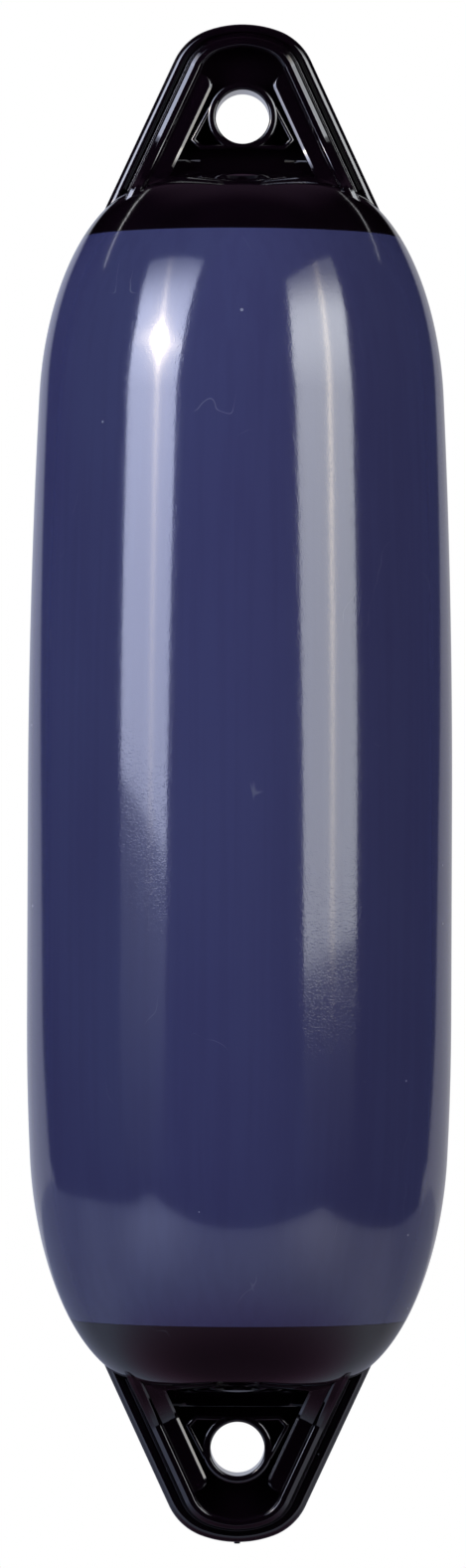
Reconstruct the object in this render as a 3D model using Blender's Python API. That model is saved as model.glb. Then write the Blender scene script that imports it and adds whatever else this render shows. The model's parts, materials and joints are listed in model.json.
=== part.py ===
"""Pneumatic boat fender: an inflated PVC barrel with a moulded rope eye at each end.

The origin is the centre of the top eye's hole. The fender hangs down along -Z, both eyes lie in the XZ plane
and their holes run along Y. Every size is in metres.
"""

import math
from collections import namedtuple

import bmesh
import bpy
from mathutils import Vector

# Barrel and the clearance between pieces
BODY_RADIUS = 0.100
EYE_SPACING = 0.6257
BODY_WALL = 0.0035
CLEARANCE = 0.0003

# Outline of the top end: how deep the shoulder runs, how square it is, how much the barrel tapers towards it
# and over what length, and how deep below the eye the barrel's mouth meets the end moulding
TOP_SHOULDER_LENGTH = 0.1057
TOP_FULLNESS = 3.61
TOP_TAPER = 0.0112
TOP_TAPER_LENGTH = 0.2965
TOP_MOUTH_DEPTH = 0.0563

# The same for the bottom end, which is fuller
BOTTOM_SHOULDER_LENGTH = 0.1111
BOTTOM_FULLNESS = 4.21
BOTTOM_TAPER = 0.0120
BOTTOM_TAPER_LENGTH = 0.1760
BOTTOM_MOUTH_DEPTH = 0.0602

# Caps of the end mouldings
CROWN_DEPTH = 0.0255
SKIRT_WALL = 0.0025
SKIRT_LENGTH = 0.014

# Outline of the rope eye's lug: a three-centred arch on two straight leaning sides
TIP_REACH = 0.0445
ARCH_RADIUS = 0.0492
ARCH_HALF_ANGLE = math.radians(20.0)
CORNER_RADIUS = 0.0272
SIDE_LEAN = math.radians(24.87)
SIDE_BURIAL = 0.0014

# Side view of the lug: straight at the eye, then a hollow curve out to the cap
EYE_HALF_THICKNESS = 0.0155
FLARE_START_DEPTH = 0.005
FLARE_RADIUS = 0.036
FLARE_SWEEP = math.radians(55.0)

# Section across the lug's edge: parting flange, groove and ridge, as distances in from the outline
FLANGE_HALF_THICKNESS = 0.005
FLANGE_WIDTH = 0.0042
FLANGE_ROUNDING = 0.0022
GROOVE_HALF_THICKNESS = 0.0032
GROOVE_WIDTH = 0.0024
EDGE_DRAFT = math.radians(6.0)
RIDGE_RISE = 0.0034
RIDGE_SHOULDER = 0.0010
RIDGE_BEVEL = 0.0022
RIDGE_CREST = 0.0024
RIDGE_STEP = 0.0014
CROWDING_AT_TIP = 0.86

# Leg ribs beside the ridge
LEG_WIDTH = 0.0080
LEG_DROP = 0.0020
LEG_BEVEL = 0.0010
LEG_END_HEIGHT = 0.0160
LEG_END_SWEEP = math.radians(80.0)

# Web and its hollow root on the cap
WEB_HALF_THICKNESS = 0.004
WEB_ROOT_RADIUS = 0.0085
WEB_ROOT_HALF_WIDTH = 0.033

# Rope hole, its boss and the keystone rib round it
HOLE_RADIUS = 0.0127
LIP_RADIUS = 0.0012
BOSS_WALL = 0.0036
BOSS_DROP = 0.0006
KEYSTONE_DROP = 0.0014
KEYSTONE_WIDTH = 0.0022
KEYSTONE_BAR_MARGIN = 0.0018
KEYSTONE_BAR_DIP = 0.0006
KEYSTONE_BAR_HALF_WIDTH = 0.0195
KEYSTONE_HIP_RISE = 0.0037
KEYSTONE_HIP_HALF_WIDTH = 0.0232
KEYSTONE_TOP_HEIGHT = 0.0042

# Moulding nib at the tip of the lower end
NIB_RADIUS = 0.0014
NIB_HEIGHT = 0.0008

# Inflation valve, in a collar on the top cap behind the eye
VALVE_OFFSET = 0.038
VALVE_COLLAR_WALL = 0.0033
VALVE_RECESS = 0.0004
VALVE_SEAT_RISE = 0.0018
VALVE_SEAT_RADIUS = 0.0095
VALVE_HOLE_RADIUS = 0.0063
BUSH_FLANGE = 0.0016
BUSH_BORE_RADIUS = 0.0033
BUSH_BEAD = 0.0009
BUSH_BEAD_LENGTH = 0.0026
WASHER_WIDTH = 0.0029
WASHER_THICKNESS = 0.0011
SCREW_HEAD_OVERHANG = 0.0004
SCREW_HEAD_THICKNESS = 0.0022
SCREW_HEAD_BEVEL = 0.0006
SCREW_TIP_SETBACK = 0.0012
SLOT_WIDTH = 0.0016
SLOT_DEPTH = 0.0011

# Fineness of the round pieces and of the lug's curves
FACETS = 48
HOLE_FACETS = 36
VALVE_FACETS = 28
NIB_FACETS = 12
CROWN_RINGS = 9
INNER_RINGS = 6
SHOULDER_RINGS = 7
RING_CROWDING = 1.7
CORNER_STEPS = 7
FLARE_STEPS = 6
LEG_FLARE_STEPS = 5
ROUND_STEPS = 5
LIP_STEPS = 2

# Finishes: colour, roughness
BLUE_PVC = ((0.034, 0.038, 0.105, 1.0), 0.22)
BLACK_PVC = ((0.006, 0.005, 0.007, 1.0), 0.25)
BLACK_RUBBER = ((0.012, 0.012, 0.013, 1.0), 0.6)
BLACK_NYLON = ((0.020, 0.020, 0.022, 1.0), 0.4)

# What follows from the sizes above
Shoulder = namedtuple("Shoulder", "length fullness taper taper_length mouth_depth")
TOP_SHOULDER = Shoulder(TOP_SHOULDER_LENGTH, TOP_FULLNESS, TOP_TAPER, TOP_TAPER_LENGTH, TOP_MOUTH_DEPTH)
BOTTOM_SHOULDER = Shoulder(
    BOTTOM_SHOULDER_LENGTH, BOTTOM_FULLNESS, BOTTOM_TAPER, BOTTOM_TAPER_LENGTH, BOTTOM_MOUTH_DEPTH
)
LAP = BODY_WALL + CLEARANCE
CAP_WALL = LAP + SKIRT_WALL
ARCH_CENTRE = TIP_REACH - ARCH_RADIUS
SIDE_ANGLE = 0.5 * math.pi - SIDE_LEAN
RIDGE_FOOT = FLANGE_WIDTH + GROOVE_WIDTH
RIDGE_TOP = RIDGE_FOOT + RIDGE_RISE
RIDGE_END = RIDGE_TOP + RIDGE_CREST + RIDGE_STEP
LEG_END = RIDGE_END + LEG_WIDTH
BOSS_RADIUS = HOLE_RADIUS + BOSS_WALL
BOSS_HALF_THICKNESS = EYE_HALF_THICKNESS - BOSS_DROP
KEYSTONE_BAR_DEPTH = HOLE_RADIUS + KEYSTONE_BAR_MARGIN
BUSH_STEM_RADIUS = VALVE_HOLE_RADIUS - CLEARANCE


def clear_scene():
    for obj in list(bpy.data.objects):
        bpy.data.objects.remove(obj, do_unlink=True)


def plastic(name, finish):
    """A plain moulded material."""
    colour, roughness = finish
    material = bpy.data.materials.new(name)
    material.use_nodes = True
    shader = material.node_tree.nodes["Principled BSDF"]
    shader.inputs["Base Color"].default_value = colour
    shader.inputs["Roughness"].default_value = roughness
    shader.inputs["Metallic"].default_value = 0.0
    return material


def solve(rising, low, high):
    """Where a rising function passes zero between two values."""
    for _ in range(40):
        middle = 0.5 * (low + high)
        if rising(middle) < 0.0:
            low = middle
        else:
            high = middle
    return high


def link(name, mesh):
    obj = bpy.data.objects.new(name, mesh)
    bpy.context.scene.collection.objects.link(obj)
    return obj


def add_object(name, points, faces):
    """A mesh object from points and faces, with its faces turned outwards."""
    mesh = bpy.data.meshes.new(name)
    bm = bmesh.new()
    corners = [bm.verts.new(point) for point in points]
    for face in faces:
        bm.faces.new([corners[i] for i in face])
    bmesh.ops.recalc_face_normals(bm, faces=bm.faces)
    bm.to_mesh(mesh)
    bm.free()
    return link(name, mesh)


def boolean(obj, tools, operation):
    """Joins all the tools to an object, or cuts them all out of it, in one step."""
    group = bpy.data.collections.new(f"{obj.name} {operation.lower()}")
    bpy.context.scene.collection.children.link(group)
    for tool in tools:
        tool.hide_render = True
        tool.display_type = "WIRE"
        tool.parent = obj
        bpy.context.scene.collection.objects.unlink(tool)
        group.objects.link(tool)
    modifier = obj.modifiers.new(group.name, "BOOLEAN")
    modifier.operation = operation
    modifier.solver = "EXACT"
    modifier.operand_type = "COLLECTION"
    modifier.collection = group


def turned(name, profile, facets, material=None):
    """A turned piece from (radius, height) points that run down its outside, top to bottom."""
    mesh = bpy.data.meshes.new(name)
    points = [(radius, 0.0, height) for radius, height in profile]
    edges = [(i, i + 1) for i in range(len(points) - 1)]
    starts_on_axis = profile[0][0] == 0.0
    if not starts_on_axis:
        edges.append((len(points) - 1, 0))
    mesh.from_pydata(points, edges, [])
    if material:
        mesh.materials.append(material)
    obj = link(name, mesh)
    screw = obj.modifiers.new("turn", "SCREW")
    screw.axis = "Z"
    screw.steps = facets
    screw.render_steps = facets
    screw.use_merge_vertices = True
    screw.merge_threshold = 0.00005
    screw.use_smooth_shade = True
    return obj


def prism(name, outline, half_thickness):
    """A plate with an (x, z) outline, the same distance each side of the XZ plane."""
    count = len(outline)
    points = [(x, y, z) for y in (-half_thickness, half_thickness) for x, z in outline]
    faces = [list(range(count)), list(range(2 * count - 1, count - 1, -1))]
    faces += [(i, (i + 1) % count, count + (i + 1) % count, count + i) for i in range(count)]
    return add_object(name, points, faces)


def skin(name, sections):
    """A closed solid through a row of sections with equal numbers of points."""
    count = len(sections[0])
    points = [point for section in sections for point in section]
    faces = [list(range(count)), list(range(len(points) - count, len(points)))]
    for row in range(len(sections) - 1):
        start = row * count
        for i in range(count):
            j = (i + 1) % count
            faces.append((start + i, start + j, start + count + j, start + count + i))
    return add_object(name, points, faces)


def outer_radius(shoulder, depth):
    """The fender's radius at a depth below the eye: a squared shoulder on a slightly tapering barrel."""
    reach = max(0.0, 1.0 - (depth - CROWN_DEPTH) / shoulder.length)
    thinning = max(0.0, 1.0 - (depth - CROWN_DEPTH) / shoulder.taper_length)
    radius = BODY_RADIUS - shoulder.taper * thinning**2
    return radius * (1.0 - reach**2) ** (1.0 / shoulder.fullness)


def wall_point(shoulder, depth, inset=0.0):
    """The (radius, depth) of a point at a distance in from the outer surface, square to it."""
    step = 0.01 * (depth - CROWN_DEPTH)
    if step <= 0.0:
        return 0.0, depth + inset
    slope = (outer_radius(shoulder, depth + step) - outer_radius(shoulder, depth - step)) / (2.0 * step)
    length = math.hypot(1.0, slope)
    return outer_radius(shoulder, depth) - inset / length, depth + inset * slope / length


def spread_depths(shoulder, start, end, rings):
    """Depths from start to end, closer together towards the crown, where the surface turns most."""
    turns = [math.acos(1.0 - (depth - CROWN_DEPTH) / shoulder.length) for depth in (start, end)]
    shares = [turn ** (1.0 / RING_CROWDING) for turn in turns]
    angles = [(shares[0] + (shares[1] - shares[0]) * i / rings) ** RING_CROWDING for i in range(rings + 1)]
    return [CROWN_DEPTH + shoulder.length * (1.0 - math.cos(angle)) for angle in angles]


def cap_depth_at(shoulder, radius, inset=0.0):
    """How deep the cap's surface, or one at a distance in from it, lies at a distance from the axis."""
    depth = solve(lambda d: wall_point(shoulder, d, inset)[0] - radius, CROWN_DEPTH, shoulder.mouth_depth)
    return wall_point(shoulder, depth, inset)[1]


def barrel_depths(shoulder):
    """Depths of the barrel's rings, from its mouth to the end of the shoulder and along the taper."""
    shoulder_end = CROWN_DEPTH + shoulder.length
    taper_end = CROWN_DEPTH + shoulder.taper_length
    depths = spread_depths(shoulder, shoulder.mouth_depth + CLEARANCE, shoulder_end, SHOULDER_RINGS)
    return depths + [0.5 * (shoulder_end + taper_end), taper_end]


def make_barrel(material):
    """The inflated tube: its outside down to the lower mouth, then its inside back up."""

    def side(inset):
        top = [wall_point(TOP_SHOULDER, depth, inset) for depth in barrel_depths(TOP_SHOULDER)]
        bottom = [wall_point(BOTTOM_SHOULDER, depth, inset) for depth in barrel_depths(BOTTOM_SHOULDER)]
        down = [(radius, -depth) for radius, depth in top]
        return down + [(radius, depth - EYE_SPACING) for radius, depth in reversed(bottom)]

    return turned("body_shell", side(0.0) + side(BODY_WALL)[::-1], FACETS, material)


def cap_profile(shoulder):
    """The end moulding's cap as a solid plug, with the step and skirt that fit the barrel's mouth."""
    mouth = shoulder.mouth_depth
    crown = [wall_point(shoulder, d) for d in spread_depths(shoulder, CROWN_DEPTH, mouth, CROWN_RINGS)]
    skirt = [wall_point(shoulder, mouth + SKIRT_LENGTH * share, LAP) for share in (0.0, 0.5, 1.0)]
    return [(radius, -depth) for radius, depth in crown + skirt + [(0.0, skirt[-1][1])]]


def cavity_profile(shoulder):
    """The inside of the cap, run out past the end of the skirt."""
    end = shoulder.mouth_depth + SKIRT_LENGTH
    depths = spread_depths(shoulder, CROWN_DEPTH, end, INNER_RINGS)
    inner = [wall_point(shoulder, depth, CAP_WALL) for depth in depths]
    inner.append((inner[-1][0], inner[-1][1] + CAP_WALL))
    return [(radius, -depth) for radius, depth in inner + [(0.0, inner[-1][1])]]


def lug_half_thickness(height):
    """Half the lug's thickness in the side view, at a height above or below the eye's centre."""
    drop = min(-height - FLARE_START_DEPTH, FLARE_RADIUS * math.sin(FLARE_SWEEP))
    if drop <= 0.0:
        return EYE_HALF_THICKNESS
    return EYE_HALF_THICKNESS + FLARE_RADIUS - math.sqrt(FLARE_RADIUS**2 - drop**2)


def arch_station(angle):
    """A point of the lug's outline on its arch and corners, and the outward direction there."""
    out = (math.sin(angle), math.cos(angle))
    if abs(angle) <= ARCH_HALF_ANGLE:
        return (ARCH_RADIUS * out[0], ARCH_CENTRE + ARCH_RADIUS * out[1]), out
    turn = math.copysign(ARCH_HALF_ANGLE, angle)
    reach = ARCH_RADIUS - CORNER_RADIUS
    x = reach * math.sin(turn) + CORNER_RADIUS * out[0]
    z = ARCH_CENTRE + reach * math.cos(turn) + CORNER_RADIUS * out[1]
    return (x, z), out


def side_station(depth, hand=1.0):
    """The same on the straight side, at a depth below the eye's centre."""
    (x, z), out = arch_station(hand * SIDE_ANGLE)
    fall = z + depth
    return (x + hand * fall * math.tan(SIDE_LEAN), -depth), out


def inset_point(station, offset):
    (x, z), out = station
    return x - offset * out[0], z - offset * out[1]


def side_end_depth(shoulder):
    """How deep the lug's sides run: until they are buried in the cap, and never past the barrel's mouth."""

    def burial(depth):
        return outer_radius(shoulder, depth) - SIDE_BURIAL - side_station(depth)[0][0]

    return solve(burial, CROWN_DEPTH, shoulder.mouth_depth)


def flare_depths(shoulder, steps):
    """Depths down the straight sides that follow the hollow curve of the side view."""
    end = side_end_depth(shoulder)
    curve = [FLARE_RADIUS * math.sin(FLARE_SWEEP * i / steps) for i in range(steps + 1)]
    return [FLARE_START_DEPTH + drop for drop in curve if FLARE_START_DEPTH + drop < end] + [end]


def lug_stations(shoulder):
    """Stations round the lug's edge from the left cap over the tip to the right cap."""
    turns = [i / CORNER_STEPS for i in range(CORNER_STEPS + 1)]
    corner = [ARCH_HALF_ANGLE + (SIDE_ANGLE - ARCH_HALF_ANGLE) * turn for turn in turns]
    arch = [0.0, 0.5 * ARCH_HALF_ANGLE] + corner
    depths = flare_depths(shoulder, FLARE_STEPS)
    right = [arch_station(angle) for angle in arch] + [side_station(depth) for depth in depths]
    left = [arch_station(-angle) for angle in arch[1:]] + [side_station(depth, -1.0) for depth in depths]
    return left[::-1] + right


def edge_section(station):
    """The flange, groove and ridge across the lug's edge, front to back, at one station."""
    side_share = abs(math.asin(station[1][0])) / SIDE_ANGLE
    crowding = CROWDING_AT_TIP + (1.0 - CROWDING_AT_TIP) * side_share
    rounding = FLANGE_ROUNDING * (1.0 - math.sqrt(0.5))
    groove_start = FLANGE_WIDTH + FLANGE_HALF_THICKNESS * math.tan(EDGE_DRAFT)
    low = [
        (0.0, FLANGE_HALF_THICKNESS - FLANGE_ROUNDING),
        (rounding, FLANGE_HALF_THICKNESS - rounding),
        (FLANGE_ROUNDING, FLANGE_HALF_THICKNESS),
        (FLANGE_WIDTH, FLANGE_HALF_THICKNESS),
        (groove_start, GROOVE_HALF_THICKNESS),
        (RIDGE_FOOT, GROOVE_HALF_THICKNESS),
    ]
    high = [
        (RIDGE_TOP - RIDGE_SHOULDER, RIDGE_BEVEL),
        (RIDGE_TOP, 0.0),
        (RIDGE_TOP + RIDGE_CREST, 0.0),
        (RIDGE_END, RIDGE_STEP),
    ]
    front = []
    for offset, height in low:
        x, z = inset_point(station, crowding * offset)
        front.append((x, -height, z))
    for offset, drop in high:
        x, z = inset_point(station, crowding * offset)
        front.append((x, drop - lug_half_thickness(z), z))
    return front + [(x, -y, z) for x, y, z in reversed(front)]


def make_leg(name, shoulder, hand):
    """The rib beside the ridge, from the cap up to its round end near the rope hole."""
    root = RIDGE_TOP + 0.5 * RIDGE_CREST
    radius = 0.5 * LEG_WIDTH
    middle = RIDGE_END + radius
    straight_end = radius - LEG_END_HEIGHT
    sections = []

    def add_section(depth, inner):
        station = side_station(depth, hand)
        front = []
        for offset, drop in ((root, 0.0), (inner - LEG_BEVEL, 0.0), (inner, LEG_BEVEL)):
            x, z = inset_point(station, offset)
            front.append((x, LEG_DROP + drop - lug_half_thickness(z), z))
        sections.append(front + [(x, -y, z) for x, y, z in reversed(front)])

    for depth in reversed(flare_depths(shoulder, LEG_FLARE_STEPS)):
        add_section(depth + CLEARANCE, LEG_END)
    for i in range(ROUND_STEPS + 1):
        turn = LEG_END_SWEEP * i / ROUND_STEPS
        add_section(straight_end - radius * math.sin(turn), middle + radius * math.cos(turn))
    return skin(name, sections)


def make_web(name, shoulder):
    """The thin plate inside the ridge."""
    outline = [inset_point(station, RIDGE_TOP) for station in lug_stations(shoulder)]
    return prism(name, outline, WEB_HALF_THICKNESS)


def make_web_root(name):
    """The hollow curve by which the web grows out of the cap's crown, from just inside the web's faces."""
    start = WEB_HALF_THICKNESS - CLEARANCE
    curve = []
    for i in range(ROUND_STEPS + 1):
        turn = 0.5 * math.pi * i / ROUND_STEPS
        half = start + WEB_ROOT_RADIUS * (1.0 - math.cos(turn))
        curve.append((half, WEB_ROOT_RADIUS * (1.0 - math.sin(turn)) - CROWN_DEPTH))
    curve.append((curve[-1][0], -CROWN_DEPTH - 0.5 * CAP_WALL))
    outline = curve + [(-y, z) for y, z in reversed(curve)]
    return skin(name, [[(x, y, z) for y, z in outline] for x in (-WEB_ROOT_HALF_WIDTH, WEB_ROOT_HALF_WIDTH)])


def make_boss(name):
    """The round boss of the rope hole, cut off straight at the keystone's bar."""
    outline = []
    for i in range(HOLE_FACETS):
        turn = 2.0 * math.pi * (i + 0.5) / HOLE_FACETS
        outline.append((BOSS_RADIUS * math.sin(turn), max(BOSS_RADIUS * math.cos(turn), -KEYSTONE_BAR_DEPTH)))
    return prism(name, outline, BOSS_HALF_THICKNESS)


def make_keystone(name):
    """The thin rib round the boss: a bar across, two hips and two slanted sides that run up to the boss."""
    half = [
        (0.0, KEYSTONE_BAR_DIP - KEYSTONE_BAR_DEPTH),
        (KEYSTONE_BAR_HALF_WIDTH, -KEYSTONE_BAR_DEPTH),
        (KEYSTONE_HIP_HALF_WIDTH, KEYSTONE_HIP_RISE - KEYSTONE_BAR_DEPTH),
        (BOSS_RADIUS - 0.5 * KEYSTONE_WIDTH, KEYSTONE_TOP_HEIGHT),
    ]
    route = [Vector((-x, z)) for x, z in reversed(half[1:])] + [Vector(point) for point in half]
    outline = ([], [])
    for i, point in enumerate(route):
        before = (point - route[max(i - 1, 0)]).normalized()
        after = (route[min(i + 1, len(route) - 1)] - point).normalized()
        along = (before + after).normalized()
        mitre = 1.0 / max(along.dot(before), along.dot(after))
        across = Vector((-along.y, along.x)) * 0.5 * KEYSTONE_WIDTH * mitre
        outline[0].append(point + across)
        outline[1].append(point - across)
    points = [tuple(point) for point in outline[0] + outline[1][::-1]]
    return prism(name, points, EYE_HALF_THICKNESS - KEYSTONE_DROP)


def make_hole_cutter(name):
    """The rope hole, with rounded lips at both faces."""
    lip = []
    for i in range(LIP_STEPS + 1):
        turn = 0.5 * math.pi * i / LIP_STEPS
        radius = HOLE_RADIUS + LIP_RADIUS * (1.0 - math.cos(turn))
        lip.append((radius, BOSS_HALF_THICKNESS - LIP_RADIUS * (1.0 - math.sin(turn))))
    outside = lip[-1][0], EYE_HALF_THICKNESS + LIP_RADIUS
    upper = [(0.0, outside[1]), outside] + lip[::-1]
    profile = upper + [(radius, -height) for radius, height in reversed(upper)]
    cutter = turned(name, profile, HOLE_FACETS)
    cutter.rotation_euler = (0.5 * math.pi, 0.0, 0.0)
    return cutter


def make_end(name, shoulder, material, more_ribs=(), more_cutters=()):
    """An end moulding with its eye at the origin, pointing up."""
    end = turned(name, cap_profile(shoulder), FACETS, material)
    ribs = [
        skin(f"{name} edge", [edge_section(station) for station in lug_stations(shoulder)]),
        make_leg(f"{name} left leg", shoulder, -1.0),
        make_leg(f"{name} right leg", shoulder, 1.0),
        make_web(f"{name} web", shoulder),
        make_web_root(f"{name} web root"),
        make_boss(f"{name} boss"),
        make_keystone(f"{name} keystone"),
    ]
    boolean(end, ribs + list(more_ribs), "UNION")
    cavity = turned(f"{name} cavity", cavity_profile(shoulder), FACETS)
    cavity.rotation_euler.z = math.pi / FACETS
    boolean(end, [cavity, make_hole_cutter(f"{name} rope hole")] + list(more_cutters), "DIFFERENCE")
    return end


def valve_depths():
    """How deep the valve's collar starts, its seat lies and the bush's bead grips the inside of the cap."""
    seat = cap_depth_at(TOP_SHOULDER, VALVE_OFFSET) - VALVE_SEAT_RISE
    stack = BUSH_FLANGE + WASHER_THICKNESS + SCREW_HEAD_THICKNESS + 3.0 * CLEARANCE
    bead_edge = VALVE_OFFSET + BUSH_STEM_RADIUS + BUSH_BEAD
    bead = cap_depth_at(TOP_SHOULDER, bead_edge, CAP_WALL) + CLEARANCE
    return seat - stack - VALVE_RECESS, seat, bead


def valve_piece(name, profile, material=None):
    """A turned piece or tool on the valve's axis, from (radius, depth) points."""
    obj = turned(name, [(radius, -depth) for radius, depth in profile], VALVE_FACETS, material)
    obj.location = (0.0, VALVE_OFFSET, 0.0)
    return obj


def make_valve_collar():
    """The round wall that shields the valve, on the back of the top cap."""
    top, _, bead = valve_depths()
    radius = VALVE_SEAT_RADIUS + VALVE_COLLAR_WALL
    return valve_piece("valve collar", [(0.0, top), (radius, top), (radius, bead), (0.0, bead)])


def make_valve_seat():
    """The stepped cutter for the valve's seat and the hole under it."""
    top, seat, bead = valve_depths()
    start, end = top - CLEARANCE, bead + BUSH_BEAD_LENGTH
    profile = [
        (0.0, start),
        (VALVE_SEAT_RADIUS, start),
        (VALVE_SEAT_RADIUS, seat),
        (VALVE_HOLE_RADIUS, seat),
        (VALVE_HOLE_RADIUS, end),
        (0.0, end),
    ]
    return valve_piece("valve seat", profile)


def make_bush(material):
    """The rubber bush, pressed in from outside until its bead snaps out behind the cap's wall."""
    _, seat, bead = valve_depths()
    bottom = seat - CLEARANCE
    top, end = bottom - BUSH_FLANGE, bead + BUSH_BEAD_LENGTH
    rim = VALVE_SEAT_RADIUS - CLEARANCE
    profile = [
        (BUSH_BORE_RADIUS, top),
        (rim, top),
        (rim, bottom),
        (BUSH_STEM_RADIUS, bottom),
        (BUSH_STEM_RADIUS, bead),
        (BUSH_STEM_RADIUS + BUSH_BEAD, bead),
        (BUSH_STEM_RADIUS, end),
        (BUSH_BORE_RADIUS, end),
    ]
    valve_piece("valve_bush", profile, material)
    return top, end


def make_washer(bush_top, material):
    """The sealing washer between the bush and the screw's head."""
    bottom = bush_top - CLEARANCE
    top = bottom - WASHER_THICKNESS
    outer = BUSH_BORE_RADIUS + WASHER_WIDTH
    profile = [(BUSH_BORE_RADIUS, top), (outer, top), (outer, bottom), (BUSH_BORE_RADIUS, bottom)]
    valve_piece("valve_washer", profile, material)
    return top


def make_screw(washer_top, bush_end, material):
    """The slotted screw plug."""
    bottom = washer_top - CLEARANCE
    top = bottom - SCREW_HEAD_THICKNESS
    tip = bush_end - SCREW_TIP_SETBACK
    shank = BUSH_BORE_RADIUS - CLEARANCE
    head = BUSH_BORE_RADIUS + WASHER_WIDTH + SCREW_HEAD_OVERHANG
    profile = [
        (0.0, top),
        (head - SCREW_HEAD_BEVEL, top),
        (head, top + SCREW_HEAD_BEVEL),
        (head, bottom),
        (shank, bottom),
        (shank, tip - 0.5 * shank),
        (0.5 * shank, tip),
        (0.0, tip),
    ]
    screw = valve_piece("valve_screw", profile, material)
    reach = 2.0 * head
    floor, roof = -top - SLOT_DEPTH, SLOT_DEPTH - top
    outline = [(-reach, floor), (reach, floor), (reach, roof), (-reach, roof)]
    slot = prism("screw slot", outline, 0.5 * SLOT_WIDTH)
    boolean(screw, [slot], "DIFFERENCE")


def make_nib():
    """The small gate mark that the mould leaves at the tip."""
    root = TIP_REACH - FLANGE_ROUNDING
    tip = TIP_REACH + NIB_HEIGHT
    return turned("nib", [(0.0, tip), (NIB_RADIUS, tip), (NIB_RADIUS, root), (0.0, root)], NIB_FACETS)


def main():
    clear_scene()
    blue = plastic("blue pvc", BLUE_PVC)
    black = plastic("black pvc", BLACK_PVC)
    make_barrel(blue)

    make_end("top_end", TOP_SHOULDER, black, [make_valve_collar()], [make_valve_seat()])
    bottom = make_end("bottom_end", BOTTOM_SHOULDER, black, [make_nib()])
    bottom.rotation_euler = (0.0, math.pi, 0.0)
    bottom.location = (0.0, 0.0, -EYE_SPACING)

    rubber = plastic("black rubber", BLACK_RUBBER)
    bush_top, bush_end = make_bush(rubber)
    washer_top = make_washer(bush_top, rubber)
    make_screw(washer_top, bush_end, plastic("black nylon", BLACK_NYLON))
    bpy.context.view_layer.update()


main()
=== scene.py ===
"""Looks of an inflated PVC boat fender: a blue barrel, two black ribbed rope-eye mouldings and a screw valve.

Every size is in metres. The origin is the centre of the top eye's hole, +Z is up and the holes run along Y.
"""

import json
import math

import bmesh
import bpy
from bpy.props import FloatProperty, FloatVectorProperty, IntProperty, PointerProperty
from mathutils import Matrix, Vector

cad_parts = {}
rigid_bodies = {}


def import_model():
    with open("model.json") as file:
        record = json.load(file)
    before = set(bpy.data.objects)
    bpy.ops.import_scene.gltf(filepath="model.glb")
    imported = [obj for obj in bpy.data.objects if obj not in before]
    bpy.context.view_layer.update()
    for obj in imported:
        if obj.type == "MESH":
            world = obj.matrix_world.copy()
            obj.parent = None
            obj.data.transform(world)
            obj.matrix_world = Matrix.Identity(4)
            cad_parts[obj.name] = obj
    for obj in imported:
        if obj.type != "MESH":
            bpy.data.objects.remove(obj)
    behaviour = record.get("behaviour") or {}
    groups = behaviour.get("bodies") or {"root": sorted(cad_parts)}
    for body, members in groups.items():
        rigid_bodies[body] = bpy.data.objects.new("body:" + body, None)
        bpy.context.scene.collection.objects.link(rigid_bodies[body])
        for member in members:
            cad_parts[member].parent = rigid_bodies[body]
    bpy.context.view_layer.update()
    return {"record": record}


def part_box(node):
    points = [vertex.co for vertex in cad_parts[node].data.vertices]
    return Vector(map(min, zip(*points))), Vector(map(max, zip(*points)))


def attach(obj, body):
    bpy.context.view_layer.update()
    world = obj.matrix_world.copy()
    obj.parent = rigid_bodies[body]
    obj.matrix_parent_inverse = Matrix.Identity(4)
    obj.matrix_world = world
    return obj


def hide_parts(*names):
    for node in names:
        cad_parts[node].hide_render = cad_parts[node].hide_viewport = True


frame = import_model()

bl_info = {
    "name": "Pneumatic fender",
    "version": (1, 0, 0),
    "blender": (4, 5, 0),
    "location": "3D View > Sidebar > Fender",
    "description": "Makes an inflated boat fender with ribbed rope eyes, and the studio that shows it",
    "category": "Object",
}

ROOT = "root"
WELD = 0.00001
HALVINGS = 40
SLOPE_STEP = 0.01
RING_CROWDING = 1.7
CORNER_SHARE = 0.96
SHARP_FROM = math.radians(32.0)
BEVEL_FROM = math.radians(24.0)
BEVEL_SEGMENTS = 3
CREST_ROUNDING = 1.5
LEG_ROUNDING = 0.7
COLLAR_ROUNDING = 4.0
NIB_ROUNDING = 0.0002
NIB_FACETS = 32
KEY_ROUND_START = math.radians(15.0)
KEY_ROUND_SWEEP = math.radians(75.0)
# The boss's slanted rim: distances in from its side and down from its face, as shares of the bevel.
BOSS_RIM = ((1.0, 0.0), (0.15, 0.75), (0.0, 1.2))

WHITE = (1.0, 1.0, 1.0, 1.0)
EVEN = (1.0, 1.0, 1.0)
# Glows that make up a lamp's spot: half width, half height and share of its brightness.
SPOT_GLOWS = ((0.075, 0.075, 1.0), (0.035, 0.20, 0.25), (0.24, 0.045, 0.25), (0.16, 0.17, 0.14))
# Height between the floor and what lies just over it, so that no two faces fall together.
FLOOR_GAP = 0.005
# Higher up, the pale card's edge is a second line: its share of the width at the floor, and of the narrowing.
BACK_SHOULDER = 0.77
BACK_SHOULDER_RATE = 0.4
# Ranges over which the dim room comes in towards the back and upwards, and goes out to the sides.
ROOM_BACK = (-0.3, 1.6)
ROOM_RISE = (1.8, 4.0)
ROOM_SIDES = (0.8, 2.8)
# Colours of the floor in the gloss: near the fender, and further away on the left and the right.
NEAR_SHADE = (1.0, 0.55, 0.92, 1.0)
LEFT_SHADE = (0.86, 0.97, 1.40, 1.0)
RIGHT_SHADE = (0.95, 0.97, 1.15, 1.0)
ROD_SHADE = (0.95, 0.96, 1.0, 1.0)
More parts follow.
